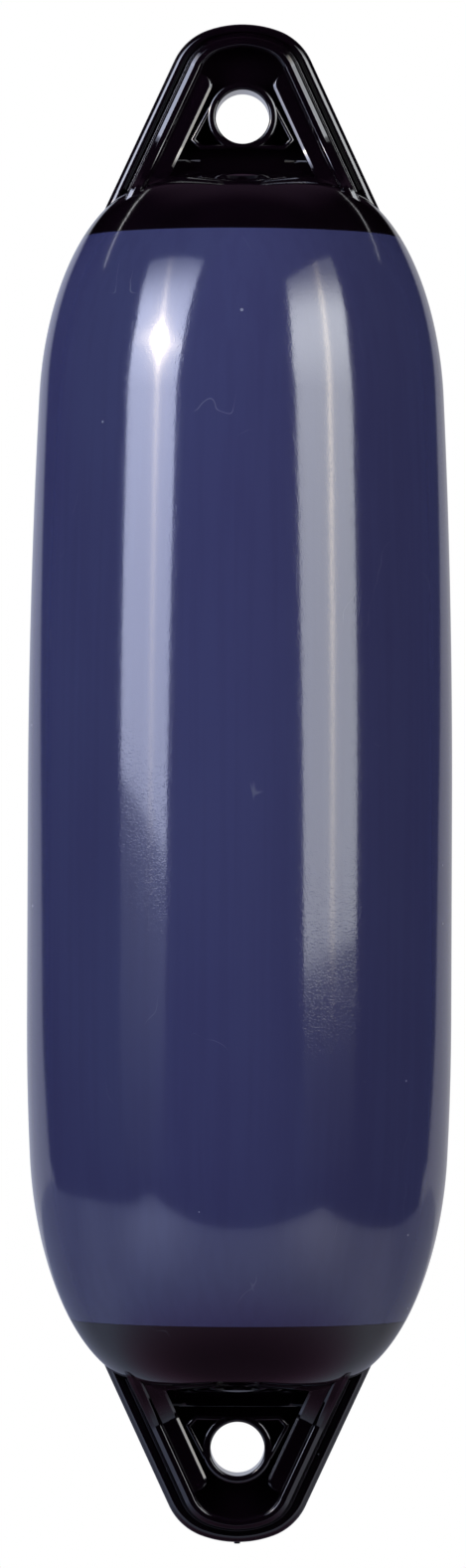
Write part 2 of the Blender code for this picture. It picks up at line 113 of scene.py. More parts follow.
# Pools of light on the floor in the gloss: their middle (x, y) and radius.
LEFT_POOL = (-1.6, -1.4, 1.3)
RIGHT_POOL = (1.45, -1.35, 1.1)
# The pale floor's outline in the gloss, behind its front edge.
FLOOR_LEFT = ((-6.4, 5.9), (-4.7, 2.6), (-3.7, 0.17), (-2.55, -1.36), (-2.5, -2.12), (-1.76, -1.98))
FLOOR_RIGHT = ((2.05, -1.22), (2.3, -0.5), (2.85, 0.8), (3.6, 2.1), (5.6, 6.0))
# Its front edge: x, and how far back the edge is set there.
FLOOR_FRONT = ((-0.9, 0.0), (1.24, 0.03), (1.98, 0.06))
# Routes of the two lamp rods behind the fender.
LEFT_ROD = (
    (-0.95, 3.06), (-1.15, 2.52), (-1.34, 2.18), (-1.60, 1.90), (-1.90, 1.66), (-2.50, 1.48), (-3.60, 1.37)
)
RIGHT_ROD = (
    (1.00, 3.30), (1.17, 2.70), (1.37, 2.39), (1.66, 2.19), (1.96, 1.99), (2.58, 1.76), (3.40, 1.56)
)

COLOURS = {material["slot"]: material["base_color"] for material in frame["record"]["materials"]}
MOUNTS = {mount["name"]: Vector(mount["pos_m"]) for mount in frame["record"]["mounts"]}
FACE_HEIGHT = MOUNTS["top_eye_front_face"].z
EYE_SPACING = -MOUNTS["bottom_eye_front_face"].z - FACE_HEIGHT
BARREL_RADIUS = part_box("body_shell")[1].x
TIP_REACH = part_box("top_end")[1].z
NIB_REACH = -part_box("bottom_end")[0].z - EYE_SPACING
VALVE_OFFSET = 0.5 * sum(corner.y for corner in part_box("valve_bush"))


def length(name, description, default):
    """A property for a length."""
    return FloatProperty(name=name, description=description, default=default, unit="LENGTH", precision=5)


def angle(name, description, degrees):
    """A property for an angle, given in degrees."""
    return FloatProperty(name=name, description=description, default=math.radians(degrees), subtype="ANGLE")


def amount(name, description, default):
    """A property for a plain factor."""
    return FloatProperty(name=name, description=description, default=default, precision=4)


def colour(name, description, default):
    """A property for a colour in linear values."""
    return FloatVectorProperty(
        name=name, description=description, default=default, subtype="COLOR", size=3, min=0.0, max=1.0
    )


def count(name, description, default):
    """A property for a number of steps."""
    return IntProperty(name=name, description=description, default=default, min=1)


def solve(rising, low, high):
    """Where a rising function passes zero between two values."""
    for _ in range(HALVINGS):
        middle = 0.5 * (low + high)
        if rising(middle) < 0.0:
            low = middle
        else:
            high = middle
    return high


class EndShape:
    """The fender's outline at one end, as depths below that end's eye."""

    barrel_radius: length("Barrel radius", "Radius of the straight barrel", BARREL_RADIUS)
    crown_depth: length("Crown depth", "Depth of the cap's crown below the eye's centre", 0.0255)

    def outer_radius(self, depth):
        """A squared shoulder on a slightly tapering barrel."""
        reach = max(0.0, 1.0 - (depth - self.crown_depth) / self.shoulder_length)
        thinning = max(0.0, 1.0 - (depth - self.crown_depth) / self.taper_length)
        radius = self.barrel_radius - self.taper * thinning**2
        return radius * (1.0 - reach**2) ** (1.0 / self.fullness)

    def wall_point(self, depth, inset=0.0):
        """The (radius, depth) of a point at a distance in from the outer surface, square to it."""
        step = SLOPE_STEP * (depth - self.crown_depth)
        if step <= 0.0:
            return 0.0, depth + inset
        slope = (self.outer_radius(depth + step) - self.outer_radius(depth - step)) / (2.0 * step)
        span = math.hypot(1.0, slope)
        return self.outer_radius(depth) - inset / span, depth + inset * slope / span

    def spread_depths(self, start, end, rings):
        """Depths from start to end, closer together towards the crown, where the surface turns most."""
        turns = [math.acos(1.0 - (depth - self.crown_depth) / self.shoulder_length) for depth in (start, end)]
        low, high = (turn ** (1.0 / RING_CROWDING) for turn in turns)
        angles = [(low + (high - low) * i / rings) ** RING_CROWDING for i in range(rings + 1)]
        return [self.crown_depth + self.shoulder_length * (1.0 - math.cos(turn)) for turn in angles]

    def depth_at(self, radius, inset=0.0):
        """How deep the cap's surface, or one at a distance in from it, lies at a distance from the axis."""
        depth = solve(lambda d: self.wall_point(d, inset)[0] - radius, self.crown_depth, self.mouth_depth)
        return self.wall_point(depth, inset)[1]


class TopEndSizes(EndShape, bpy.types.PropertyGroup):
    """Outline of the top end."""

    shoulder_length: length("Shoulder length", "Depth over which the shoulder runs", 0.1057)
    fullness: amount("Fullness", "How square the shoulder is", 3.61)
    taper: length("Taper", "How much the barrel thins towards this end", 0.0112)
    taper_length: length("Taper length", "Depth over which the barrel thins", 0.2965)
    mouth_depth: length("Mouth depth", "Depth of the line where black meets blue", 0.0563)


class BottomEndSizes(EndShape, bpy.types.PropertyGroup):
    """Outline of the bottom end."""

    shoulder_length: length("Shoulder length", "Depth over which the shoulder runs", 0.1111)
    fullness: amount("Fullness", "How square the shoulder is", 4.21)
    taper: length("Taper", "How much the barrel thins towards this end", 0.0120)
    taper_length: length("Taper length", "Depth over which the barrel thins", 0.1760)
    mouth_depth: length("Mouth depth", "Depth of the line where black meets blue", 0.0602)


class ShellSizes(bpy.types.PropertyGroup):
    """Walls and seams of the barrel and of the caps."""

    eye_spacing: length("Eye spacing", "Distance between the centres of the two rope holes", EYE_SPACING)
    body_wall: length("Barrel wall", "Thickness of the barrel's wall", 0.0035)
    skirt_wall: length("Skirt wall", "Thickness of the cap's skirt inside the barrel", 0.0025)
    skirt_length: length("Skirt length", "How far the cap's skirt reaches into the barrel", 0.014)
    seam: length("Seam", "Width of the fine line between barrel and cap", 0.00012)
    clearance: length("Clearance", "Gap between the barrel's inside and the skirt", 0.0003)
    facets: count("Facets", "Facets round the barrel and the caps", 192)
    shoulder_rings: count("Shoulder rings", "Rings along each shoulder", 30)
    barrel_rings: count("Barrel rings", "Rings along each half of the barrel", 14)
    crown_rings: count("Crown rings", "Rings along each cap", 36)
    inner_rings: count("Inner rings", "Rings along each inner surface", 16)

    @property
    def lap(self):
        """How deep the skirt lies under the barrel's outer surface."""
        return self.body_wall + self.clearance

    @property
    def cap_wall(self):
        """The cap's own wall."""
        return self.lap + self.skirt_wall


class LugSizes(bpy.types.PropertyGroup):
    """Outline, side view and edge section of the rope eye's lug."""

    tip_reach: length("Tip reach", "Height of the tip above the hole's centre", TIP_REACH)
    arch_radius: length("Arch radius", "Radius of the arch at the tip", 0.0492)
    arch_half_angle: angle("Arch half angle", "Half the angle that the arch covers", 20.0)
    corner_radius: length("Corner radius", "Radius of the corners beside the arch", 0.0272)
    side_lean: angle("Side lean", "Lean of the straight sides", 24.87)
    side_burial: length("Side burial", "How far the sides end below the cap's surface", 0.0014)
    half_thickness: length("Half thickness", "Half the lug's thickness at the eye", 0.0155)
    flare_start: length("Flare start", "Depth at which the faces begin to curve out", 0.005)
    flare_radius: length("Flare radius", "Radius of the hollow curve out to the cap", 0.036)
    flare_sweep: angle("Flare sweep", "How far the hollow curve turns", 55.0)
    flange_half_thickness: length("Flange half thickness", "Half the parting flange's thickness", 0.005)
    flange_width: length("Flange width", "Width of the parting flange", 0.0042)
    flange_rounding: length("Flange rounding", "Radius of the flange's outer edges", 0.0034)
    groove_half_thickness: length("Groove half thickness", "Half the thickness left at the groove", 0.0032)
    groove_width: length("Groove width", "Width of the groove's floor", 0.0024)
    edge_draft: angle("Edge draft", "Draft of the flange's inner side", 6.0)
    ridge_rise: length("Ridge rise", "Width of the ridge's outer slope", 0.0034)
    ridge_shoulder: length("Ridge shoulder", "Width of the bevel on the ridge's outer side", 0.0019)
    ridge_bevel: length("Ridge bevel", "Height of that bevel", 0.0010)
    ridge_crest: length("Ridge crest", "Width of the ridge's flat crest", 0.0024)
    ridge_step: length("Ridge step", "Size of the bevel on the ridge's inner side", 0.0014)
    crowding_at_tip: amount("Crowding at the tip", "How much narrower the section is at the tip", 0.86)
    edge_rounding: length("Edge rounding", "Radius of the small rounding on every rib's edges", 0.0006)
    fillet_steps: count("Fillet steps", "Steps round each small rounding", 5)
    arch_steps: count("Arch steps", "Steps along each half of the arch", 10)
    corner_steps: count("Corner steps", "Steps round each corner", 26)
    flare_steps: count("Flare steps", "Steps down each side", 22)
    round_steps: count("Round steps", "Steps round each small curve", 14)

    @property
    def side_angle(self):
        """Direction of the sides' outward normal from straight up."""
        return 0.5 * math.pi - self.side_lean

    @property
    def ridge_foot(self):
        """Where the ridge rises from the groove, in from the outline."""
        return self.flange_width + self.groove_width

    @property
    def ridge_top(self):
        """Where the ridge reaches its crest, in from the outline."""
        return self.ridge_foot + self.ridge_rise

    @property
    def ridge_end(self):
        """Where the ridge ends, in from the outline."""
        return self.ridge_top + self.ridge_crest + self.ridge_step

    def half_thickness_at(self, height):
        """Half the lug's thickness in the side view, at a height above or below the eye's centre."""
        drop = min(-height - self.flare_start, self.flare_radius * math.sin(self.flare_sweep))
        if drop <= 0.0:
            return self.half_thickness
        return self.half_thickness + self.flare_radius - math.sqrt(self.flare_radius**2 - drop**2)

    def arch_station(self, turn):
        """A point of the lug's outline on its arch and corners, and the outward direction there."""
        centre = self.tip_reach - self.arch_radius
        out = (math.sin(turn), math.cos(turn))
        if abs(turn) <= self.arch_half_angle:
            return (self.arch_radius * out[0], centre + self.arch_radius * out[1]), out
        corner_turn = math.copysign(self.arch_half_angle, turn)
        reach = self.arch_radius - self.corner_radius
        x = reach * math.sin(corner_turn) + self.corner_radius * out[0]
        z = centre + reach * math.cos(corner_turn) + self.corner_radius * out[1]
        return (x, z), out

    def side_station(self, depth, hand=1.0):
        """The same on the straight side, at a depth below the eye's centre."""
        (x, z), out = self.arch_station(hand * self.side_angle)
        fall = z + depth
        return (x + hand * fall * math.tan(self.side_lean), -depth), out

    def side_end_depth(self, end):
        """How deep the sides run until they are buried in the cap, and never past the barrel's mouth."""

        def burial(depth):
            return end.outer_radius(depth) - self.side_burial - self.side_station(depth)[0][0]

        return solve(burial, end.crown_depth, end.mouth_depth)

    def flare_depths(self, end, steps):
        """Depths down the straight sides that follow the hollow curve of the side view."""
        last = self.side_end_depth(end)
        curve = [self.flare_radius * math.sin(self.flare_sweep * i / steps) for i in range(steps + 1)]
        return [self.flare_start + drop for drop in curve if self.flare_start + drop < last] + [last]

    def stations(self, end):
        """Stations round the lug's edge from the left cap over the tip to the right cap."""
        arch = [self.arch_half_angle * i / self.arch_steps for i in range(self.arch_steps)]
        span = self.side_angle - self.arch_half_angle
        corner = [self.arch_half_angle + span * i / self.corner_steps for i in range(self.corner_steps + 1)]
        turns = arch + corner
        depths = self.flare_depths(end, self.flare_steps)
        right = [self.arch_station(turn) for turn in turns] + [self.side_station(d) for d in depths]
        left = [self.arch_station(-turn) for turn in turns[1:]] + [self.side_station(d, -1.0) for d in depths]
        return left[::-1] + right

    def edge_section(self, station):
        """The flange, groove and ridge across the lug's edge, front to back, at one station."""
        side_share = abs(math.asin(station[1][0])) / self.side_angle
        crowding = self.crowding_at_tip + (1.0 - self.crowding_at_tip) * side_share
        groove_start = self.flange_width + self.flange_half_thickness * math.tan(self.edge_draft)
        small = self.edge_rounding
        low = (
            (0.0, 0.0, 0.0),
            (0.0, self.flange_half_thickness, self.flange_rounding),
            (self.flange_width, self.flange_half_thickness, small),
            (groove_start, self.groove_half_thickness, small),
            (self.ridge_foot, self.groove_half_thickness, small),
        )
        high = (
            (self.ridge_top - self.ridge_shoulder, self.ridge_bevel, small),
            (self.ridge_top, 0.0, small),
            (self.ridge_top + self.ridge_crest, 0.0, CREST_ROUNDING * small),
            (self.ridge_end, self.ridge_step, small),
            (self.ridge_end, self.half_thickness, 0.0),
        )
        corners = [(crowding * offset, -height, radius) for offset, height, radius in low]
        for offset, drop, radius in high:
            z = inset_point(station, crowding * offset)[1]
            corners.append((crowding * offset, drop - self.half_thickness_at(z), radius))
        front = []
        for offset, y in rounded(corners, self.fillet_steps)[1:-1]:
            x, z = inset_point(station, offset)
            front.append((x, y, z))
        return both_faces(front)


class RibSizes(bpy.types.PropertyGroup):
    """Leg ribs, web and its hollow root."""

    leg_width: length("Leg width", "Width of the leg rib beside the ridge", 0.0080)
    leg_drop: length("Leg drop", "How far the legs lie below the ridge's crest", 0.0020)
    leg_bevel: length("Leg bevel", "Width of the slanted edge along the leg's inner side", 0.0013)
    leg_bevel_drop: length("Leg bevel drop", "Height of that slanted edge", 0.0007)
    leg_end_height: length("Leg end height", "Height of the leg's round end above the eye's centre", 0.0262)
    leg_end_sweep: angle("Leg end sweep", "How far the leg's end is rounded", 80.0)
    leg_steps: count("Leg steps", "Steps down each leg", 17)
    web_half_thickness: length("Web half thickness", "Half the thin plate's thickness", 0.004)
    root_radius: length("Root radius", "Radius of the web's hollow root on the cap", 0.0085)
    root_half_width: length("Root half width", "Half the root's width", 0.033)


class EyeSizes(bpy.types.PropertyGroup):
    """Rope hole, its boss and the keystone rib round it."""

    hole_radius: length("Hole radius", "Radius of the rope hole", 0.0127)
    lip_radius: length("Lip radius", "Rounding of the hole's lips", 0.0012)
    boss_wall: length("Boss wall", "Width of the boss round the hole", 0.0036)
    boss_bevel: length("Boss bevel", "Width of the slanted rim of the boss", 0.0017)
    boss_bevel_drop: length("Boss bevel drop", "Height of that slanted rim", 0.0009)
    boss_half_thickness: length(
        "Boss half thickness", "Half the distance over the boss's two faces", -MOUNTS["top_eye_front_face"].y
    )
    key_drop: length("Keystone drop", "How far the keystone rib lies below the lug's faces", 0.0014)
    key_width: length("Keystone width", "Width of the keystone rib", 0.0022)
    bar_margin: length("Bar margin", "Gap between the hole and the middle of the keystone's bar", 0.0018)
    bar_dip: length("Bar dip", "How much the bar rises in its middle", 0.0006)
    bar_half_width: length("Bar half width", "Half the bar's width", 0.0195)
    hip_rise: length("Hip rise", "Height of the keystone's hips above the bar", 0.0037)
    hip_half_width: length("Hip half width", "Half the distance over the hips", 0.0232)
    key_top: length("Keystone top", "Height at which the keystone's sides meet the boss", 0.0042)
    facets: count("Facets", "Facets round the hole and its boss", 120)
    nib_radius: length("Nib radius", "Radius of the moulding nib at the bottom tip", 0.0014)

    @property
    def boss_radius(self):
        """Outer radius of the boss."""
        return self.hole_radius + self.boss_wall

    @property
    def bar_depth(self):
        """Depth of the keystone's bar below the hole's centre."""
        return self.hole_radius + self.bar_margin


class ValveSizes(bpy.types.PropertyGroup):
    """Inflation valve in its collar on the back of the top cap."""

    offset: length("Offset", "Distance of the valve from the fender's axis", VALVE_OFFSET)
    collar_wall: length("Collar wall", "Thickness of the collar's wall", 0.0033)
    recess: length("Recess", "How far the screw's head lies below the collar's rim", 0.0004)
    seat_rise: length("Seat rise", "Height of the seat above the cap's surface", 0.0018)
    seat_radius: length("Seat radius", "Radius of the seat inside the collar", 0.0095)
    hole_radius: length("Hole radius", "Radius of the hole under the seat", 0.0063)
    clearance: length("Clearance", "Gap between the valve's pieces", 0.0003)
    bush_flange: length("Bush flange", "Thickness of the bush's flange", 0.0016)
    bush_bore: length("Bush bore", "Radius of the bush's bore", 0.0033)
    bush_bead: length("Bush bead", "How far the bush's bead stands out", 0.0009)
    bush_bead_length: length("Bead length", "Length of the bead", 0.0026)
    washer_width: length("Washer width", "Width of the washer's ring", 0.0029)
    washer_thickness: length("Washer thickness", "Thickness of the washer", 0.0011)
    head_overhang: length("Head overhang", "How far the screw's head stands out over the washer", 0.0004)
    head_thickness: length("Head thickness", "Thickness of the screw's head", 0.0022)
    head_bevel: length("Head bevel", "Bevel of the screw's head", 0.0006)
    tip_setback: length("Tip setback", "How far the screw's tip ends inside the bush", 0.0012)
    slot_width: length("Slot width", "Width of the screw's slot", 0.0016)
    slot_depth: length("Slot depth", "Depth of the screw's slot", 0.0011)
    edge_rounding: length("Edge rounding", "Rounding of the small edges", 0.00018)
    facets: count("Facets", "Facets round the valve's pieces", 72)

    def depths(self, end):
        """How deep the collar starts, the seat lies and the bush's bead grips the inside of the cap."""
        shell = bpy.context.scene.fender.shell
        seat = end.depth_at(self.offset) - self.seat_rise
        stack = self.bush_flange + self.washer_thickness + self.head_thickness + 3.0 * self.clearance
        bead_edge = self.offset + self.hole_radius - self.clearance + self.bush_bead
        bead = end.depth_at(bead_edge, shell.cap_wall) + self.clearance
        return seat - stack - self.recess, seat, bead


class FinishSettings(bpy.types.PropertyGroup):
    """Colours and surface effects."""

    blue: colour("Blue PVC", "Colour of the barrel", COLOURS["blue_pvc"])
    blue_deep: colour("Deep blue", "Colour where the barrel's pigment is densest", (0.030, 0.032, 0.094))
    black: colour("Black PVC", "Colour of the end mouldings", (0.0024, 0.0010, 0.0024))
    # Paler colour on the mouldings' sharp edges: partly rubbed wear, partly a painted edge sheen that stands
    # in for edge glints.
    black_edge_wear_and_sheen: colour("Rubbed black", "Colour of the end mouldings on rubbed edges", (0.010, 0.008, 0.010))
    rubber: colour("Black rubber", "Colour of the bush and the washer", COLOURS["black_rubber"])
    nylon: colour("Black nylon", "Colour of the valve screw", COLOURS["black_nylon"])
    dust: colour("Dust", "Colour of the fine specks of dust", (0.30, 0.32, 0.38))
    refraction: amount("Refractive index", "Refractive index of PVC and of nylon", 1.53)
    rubber_refraction: amount("Rubber's refractive index", "Refractive index of rubber", 1.52)
    pvc_specular: amount("PVC specular level", "Strength of the reflections on PVC", 0.68)
    pvc_roughness: amount("PVC roughness", "Roughness of clean PVC", 0.045)
    dirt_roughness: amount("Dirt roughness", "Roughness that dust and hairlines add", 0.4)
    ripple_height: length("Ripple height", "Height of the ripple along the barrel's streaks", 0.000003)
    peel_size: length("Orange peel size", "Size of the orange peel's grains", 0.0007)
    peel_height: length("Orange peel height", "Height of the orange peel", 0.000009)
    swell_height: length("Swell height", "Height of the slow swell under the orange peel", 0.000004)
    grain_size: length("Grain size", "Size of the mouldings' fine grain", 0.0008)
    grain_height: length("Grain height", "Height of the mouldings' fine grain", 0.000002)
    streak_size: length("Streak size", "Distance between the barrel's faint lengthwise streaks", 0.005)
    cloud_size: length("Cloud size", "Size of the faint clouds in the colour", 0.07)


def flat_point(name, description, default):
    """A property for a point of a softbox's face: across to the right and up, from its foot's middle."""
    return FloatVectorProperty(name=name, description=description, default=default, size=2, precision=4)


class SoftboxSettings:
    """A flat soft light on a stand, with a brighter line where its lamp sits."""

    distance: length("Distance", "Distance of its lower edge from the fender's axis", 1.3)
    lean: angle("Lean", "How far it leans over the fender", 15.0)
    line_colour: colour("Line colour", "Colour of the brighter line", (1.0, 0.84, 0.60))
    line_spread: length("Line spread", "Distance from its middle over which the line dims", 0.03)
    line_rise: length("Line rise", "Height over which the line grows to its full brightness", 0.45)
    line_start: amount("Line start", "Share of its brightness that the line has at the foot", 0.45)
    base: amount("Base", "Share of its brightness far from the brightest height", 0.72)
    glow_reach: length("Glow reach", "Distance over which the brightest height dims", 0.33)
    fade_height: length("Fade height", "Height from which its face gets darker to the top", 0.82)
    fade_margin: length("Fade margin", "How far below its top the fade is complete", 0.08)
    fade_share: amount("Fade share", "Share of its brightness that the fade takes", 0.76)
    spot_height: length("Spot height", "Height of the lamp's own spot", 0.64)
    skirt_depth: length("Skirt depth", "How far its dim skirt of cloth hangs down", 0.50)

    def corner(self, across, up):
        """Where a point of the softbox's face lies in the studio."""
        turn = Matrix.Rotation(self.azimuth, 3, "Z")
        foot = turn @ Vector((0.0, -self.distance, 0.0)) + Vector((0.0, 0.0, self.foot_height))
        return foot + turn @ Matrix.Rotation(-self.lean, 3, "X") @ Vector((across, 0.0, up))

    def outline(self):
        """The corners of its face, round from the lower left."""
        right = (self.low_right, self.middle_right, self.high_right)
        return [tuple(point) for point in (self.low_left, *right, self.high_left, self.middle_left)]


class LeftSoftbox(SoftboxSettings, bpy.types.PropertyGroup):
    """The soft light on the left."""

    azimuth: angle("Azimuth", "Direction of the softbox from the fender, from the camera's side", -53.5)
    foot_height: length("Foot height", "Height of its foot", -0.35)
    low_left: flat_point("Low left", "Lower left corner", (-0.270, 0.062))
    low_right: flat_point("Low right", "Lower right corner", (0.346, 0.004))
    middle_left: flat_point("Middle left", "Left edge at half height", (-0.232, 0.700))
    middle_right: flat_point("Middle right", "Right edge at half height", (0.400, 0.700))
    high_left: flat_point("High left", "Upper left corner", (-0.310, 1.150))
    high_right: flat_point("High right", "Upper right corner", (0.430, 1.360))
    fade_slant: amount("Fade slant", "How much more its left side fades than its right, by height", 0.35)
    colour: colour("Colour", "Colour of its light", (0.70, 0.755, 1.0))
    strength: amount("Strength", "Brightness of its face, where 1 is white", 8.35)
    glow: amount("Glow", "How much brighter its face is round the brightest height", 0.50)
    full_height: length("Full height", "Height at which its face is brightest", 0.66)
    line: amount("Line", "Brightness that the line adds", 3.0)
    line_foot: length("Line foot", "Place of the line across the face, at the foot", 0.135)
    line_bend: length("Line bend", "How far the line has moved across at the top", -0.24)
    spot: amount("Hot spot", "Brightness that the lamp's own spot adds", 30.0)
    fill: amount("Fill", "Brightness of the light that it throws on the fender", 6.9)
    fill_colour: colour("Fill colour", "Colour of the light that it throws on the fender", (0.84, 0.94, 0.78))
    skirt_glow: amount("Skirt glow", "Brightness of its skirt at the top", 0.76)
    skirt_fill: amount("Skirt fill", "Brightness of the light that the skirt throws on the fender", 3.9)


class RightSoftbox(SoftboxSettings, bpy.types.PropertyGroup):
    """The soft light on the right."""

    azimuth: angle("Azimuth", "Direction of the softbox from the fender, from the camera's side", 53.0)
    foot_height: length("Foot height", "Height of its foot", -0.40)
    low_left: flat_point("Low left", "Lower left corner", (-0.452, -0.012))
    low_right: flat_point("Low right", "Lower right corner", (0.250, 0.008))
    middle_left: flat_point("Middle left", "Left edge at half height", (-0.520, 0.600))
    middle_right: flat_point("Middle right", "Right edge at half height", (0.205, 0.600))
    high_left: flat_point("High left", "Upper left corner", (-0.420, 1.160))
    high_right: flat_point("High right", "Upper right corner", (0.310, 1.255))
    fade_slant: amount("Fade slant", "How much more its left side fades than its right, by height", -0.12)
    colour: colour("Colour", "Colour of its light", (0.92, 0.957, 1.0))
    strength: amount("Strength", "Brightness of its face, where 1 is white", 5.75)
    glow: amount("Glow", "How much brighter its face is round the brightest height", 0.55)
    full_height: length("Full height", "Height at which its face is brightest", 0.76)
    line: amount("Line", "Brightness that the line adds", 5.3)
    line_foot: length("Line foot", "Place of the line across the face, at the foot", -0.082)
    line_bend: length("Line bend", "How far the line has moved across at the top", 0.14)
    spot: amount("Hot spot", "Brightness that the lamp's own spot adds", 0.0)
    fill: amount("Fill", "Brightness of the light that it throws on the fender", 2.1)
    fill_colour: colour("Fill colour", "Colour of the light that it throws on the fender", (1.0, 0.70, 0.64))
    skirt_glow: amount("Skirt glow", "Brightness of its skirt at the top", 0.20)
    skirt_fill: amount("Skirt fill", "Brightness of the light that the skirt throws on the fender", 1.2)


class StudioSettings(bpy.types.PropertyGroup):
    """Camera, floor, dark cards and surrounding light."""

    camera_distance: length("Camera distance", "Distance of the camera from the fender's axis", 4.45)
    camera_height: length("Camera height", "Height of the camera", -0.3568)
    camera_aim: length("Camera aim", "Height at which the camera looks", -0.3135)
    camera_aside: length("Camera aside", "How far the camera stands to the left", 0.0033)
    camera_roll: angle("Camera roll", "Roll of the camera", 0.22)
    lens: FloatProperty(name="Lens", description="Focal length", default=216.9, subtype="DISTANCE_CAMERA")
    floor_height: length("Floor height", "Height of the floor", -1.30)
    floor_radius: length("Floor radius", "Radius of the floor", 14.0)
    floor_fade: length("Floor fade", "Distance at which the floor is lost in the white surroundings", 4.5)
    floor_colour: colour("Floor colour", "Colour of the floor", (0.74, 0.75, 0.78))
    ambient: amount("Ambient light", "Brightness of the surrounding light on the fender", 0.17)
    ambient_colour: colour("Ambient colour", "Colour of the surrounding light", (1.0, 0.92, 0.95))
    cards_radius: length("Cards radius", "Radius of the dark cards that the gloss reflects", 7.0)
    cards_top: length("Cards top", "Height of the dark lid", 4.0)
    room_colour: colour("Room colour", "Colour of the dim room over the pale card", (0.080, 0.048, 0.080))
    back_left: colour("Back left", "Colour of the pale card at the back left", (0.50, 0.53, 0.65))
    back_right: colour("Back right", "Colour of the pale card at the back right", (0.45, 0.45, 0.49))
    back_half_angle: angle("Back half angle", "Half the width of the pale card, at the floor's height", 56.0)
    back_narrowing: angle("Back narrowing", "How much narrower the pale card gets for each metre up", 13.0)
    back_top: length("Back top", "Height of the pale card's upper edge", 1.90)
    front_edge: length("Front edge", "How far the pale floor reaches to the front", 1.84)
    floor_glow: amount("Floor glow", "Brightness of the pale floor in the gloss", 0.46)
    # Painted shadow on the floor in the gloss, right under the fender.
    under_fender_shadow: amount("Dark floor", "Share of that glow right under the fender", 0.18)
    left_pool: amount("Left pool", "Brightness of the light pool on the floor at the left", 0.50)
    right_pool: amount("Right pool", "Brightness of the light pool on the floor at the right", 0.38)
    # Painted shade on the floor in the gloss, behind the fender.
    shade_behind_fender: amount("Back dimming", "Share of its glow that the floor loses behind the fender", 0.45)
    rod_height: length("Rod height", "Height of the two thin lamp rods behind the fender", 2.0)
    rod_width: length("Rod width", "Width of each lamp rod", 0.08)
    left_rod: amount("Left rod", "Brightness of the left lamp rod", 3.0)
    right_rod: amount("Right rod", "Brightness of the right lamp rod", 1.8)


class FenderSettings(bpy.types.PropertyGroup):
    """Everything that shapes the fender and its studio."""

    top: PointerProperty(type=TopEndSizes, name="Top end", description="Outline of the top end")
    bottom: PointerProperty(type=BottomEndSizes, name="Bottom end", description="Outline of the bottom end")
    shell: PointerProperty(type=ShellSizes, name="Shell", description="Walls and seams")
    lug: PointerProperty(type=LugSizes, name="Lug", description="The rope eye's lug")
    ribs: PointerProperty(type=RibSizes, name="Ribs", description="Legs and web")
    eye: PointerProperty(type=EyeSizes, name="Eye", description="Rope hole, boss and keystone")
    valve: PointerProperty(type=ValveSizes, name="Valve", description="Inflation valve")
    finish: PointerProperty(type=FinishSettings, name="Finish", description="Colours and surface effects")
    left_light: PointerProperty(type=LeftSoftbox, name="Left light", description="Soft light on the left")
    right_light: PointerProperty(type=RightSoftbox, name="Right light", description="Soft light on the right")
    studio: PointerProperty(type=StudioSettings, name="Studio", description="Camera, floor and cards")


def rounded(corners, steps):
    """A line of (x, y, radius) corners with each corner rounded, as far as its two sides leave room."""
    line = []
    for i, (x, y, radius) in enumerate(corners):
        here = Vector((x, y))
        if radius == 0.0:
            line.append((x, y))
            continue
        others = (corners[i - 1], corners[i + 1])
        before, after = sides = [Vector(other[:2]) - here for other in others]
        room = [
            CORNER_SHARE * side.length * radius / (radius + other[2])
            for side, other in zip(sides, others)
        ]
        half_angle = 0.5 * before.angle(after)
        reach = min(radius / math.tan(half_angle), *room)
        bisector = (before.normalized() + after.normalized()).normalized()
        centre = here + bisector * reach / math.cos(half_angle)
        start = here + before.normalized() * reach - centre
        end = here + after.normalized() * reach - centre
        for step in range(steps + 1):
            spoke = start.slerp(end, step / steps) * start.length
            line.append(tuple(centre + spoke))
    return line


def inset_point(station, offset):
    """The (x, z) of a point at a distance in from the lug's outline."""
    (x, z), out = station
    return x - offset * out[0], z - offset * out[1]


def both_faces(front):
    """The front half of a section, and its mirror image at the back."""
    return front + [(x, -y, z) for x, y, z in reversed(front)]


def quarter_round(steps):
    """Shares of the radius along a quarter round: how far out it is, and how far it still has to sink."""
    turns = [0.5 * math.pi * i / steps for i in range(steps + 1)]
    return [(1.0 - math.cos(turn), 1.0 - math.sin(turn)) for turn in turns]


def link(name, data):
    """A new object in the scene."""
    obj = bpy.data.objects.new(name, data)
    bpy.context.scene.collection.objects.link(obj)
    return obj


def add_object(name, points, faces):
    """A mesh object from points and faces, with its faces turned outwards."""
    mesh = bpy.data.meshes.new(name)
    bm = bmesh.new()
    corners = [bm.verts.new(point) for point in points]
    for face in faces:
        bm.faces.new([corners[i] for i in face])
    bmesh.ops.recalc_face_normals(bm, faces=bm.faces)
    bm.to_mesh(mesh)
    bm.free()
    return link(name, mesh)


def turned(name, profile, facets):
    """A turned solid from (radius, height) points that run down its outside, top to bottom."""
    points = []
    rows = []
    for radius, height in profile:
        if radius == 0.0:
            rows.append([len(points)] * facets)
            points.append((0.0, 0.0, height))
            continue
        rows.append(list(range(len(points), len(points) + facets)))
        for i in range(facets):
            turn = 2.0 * math.pi * i / facets
            points.append((radius * math.cos(turn), radius * math.sin(turn), height))
    if profile[0][0] > 0.0:
        rows.append(rows[0])
    faces = []
    for upper, lower in zip(rows, rows[1:]):
        for i in range(facets):
            j = (i + 1) % facets
            faces.append(list(dict.fromkeys((upper[i], lower[i], lower[j], upper[j]))))
    return add_object(name, points, faces)


def prism(name, outline, half_thickness):
    """A plate with an (x, z) outline, the same distance each side of the XZ plane."""
    corners = len(outline)
    points = [(x, y, z) for y in (-half_thickness, half_thickness) for x, z in outline]
    faces = [list(range(corners)), list(range(2 * corners - 1, corners - 1, -1))]
    faces += [(i, (i + 1) % corners, corners + (i + 1) % corners, corners + i) for i in range(corners)]
    return add_object(name, points, faces)


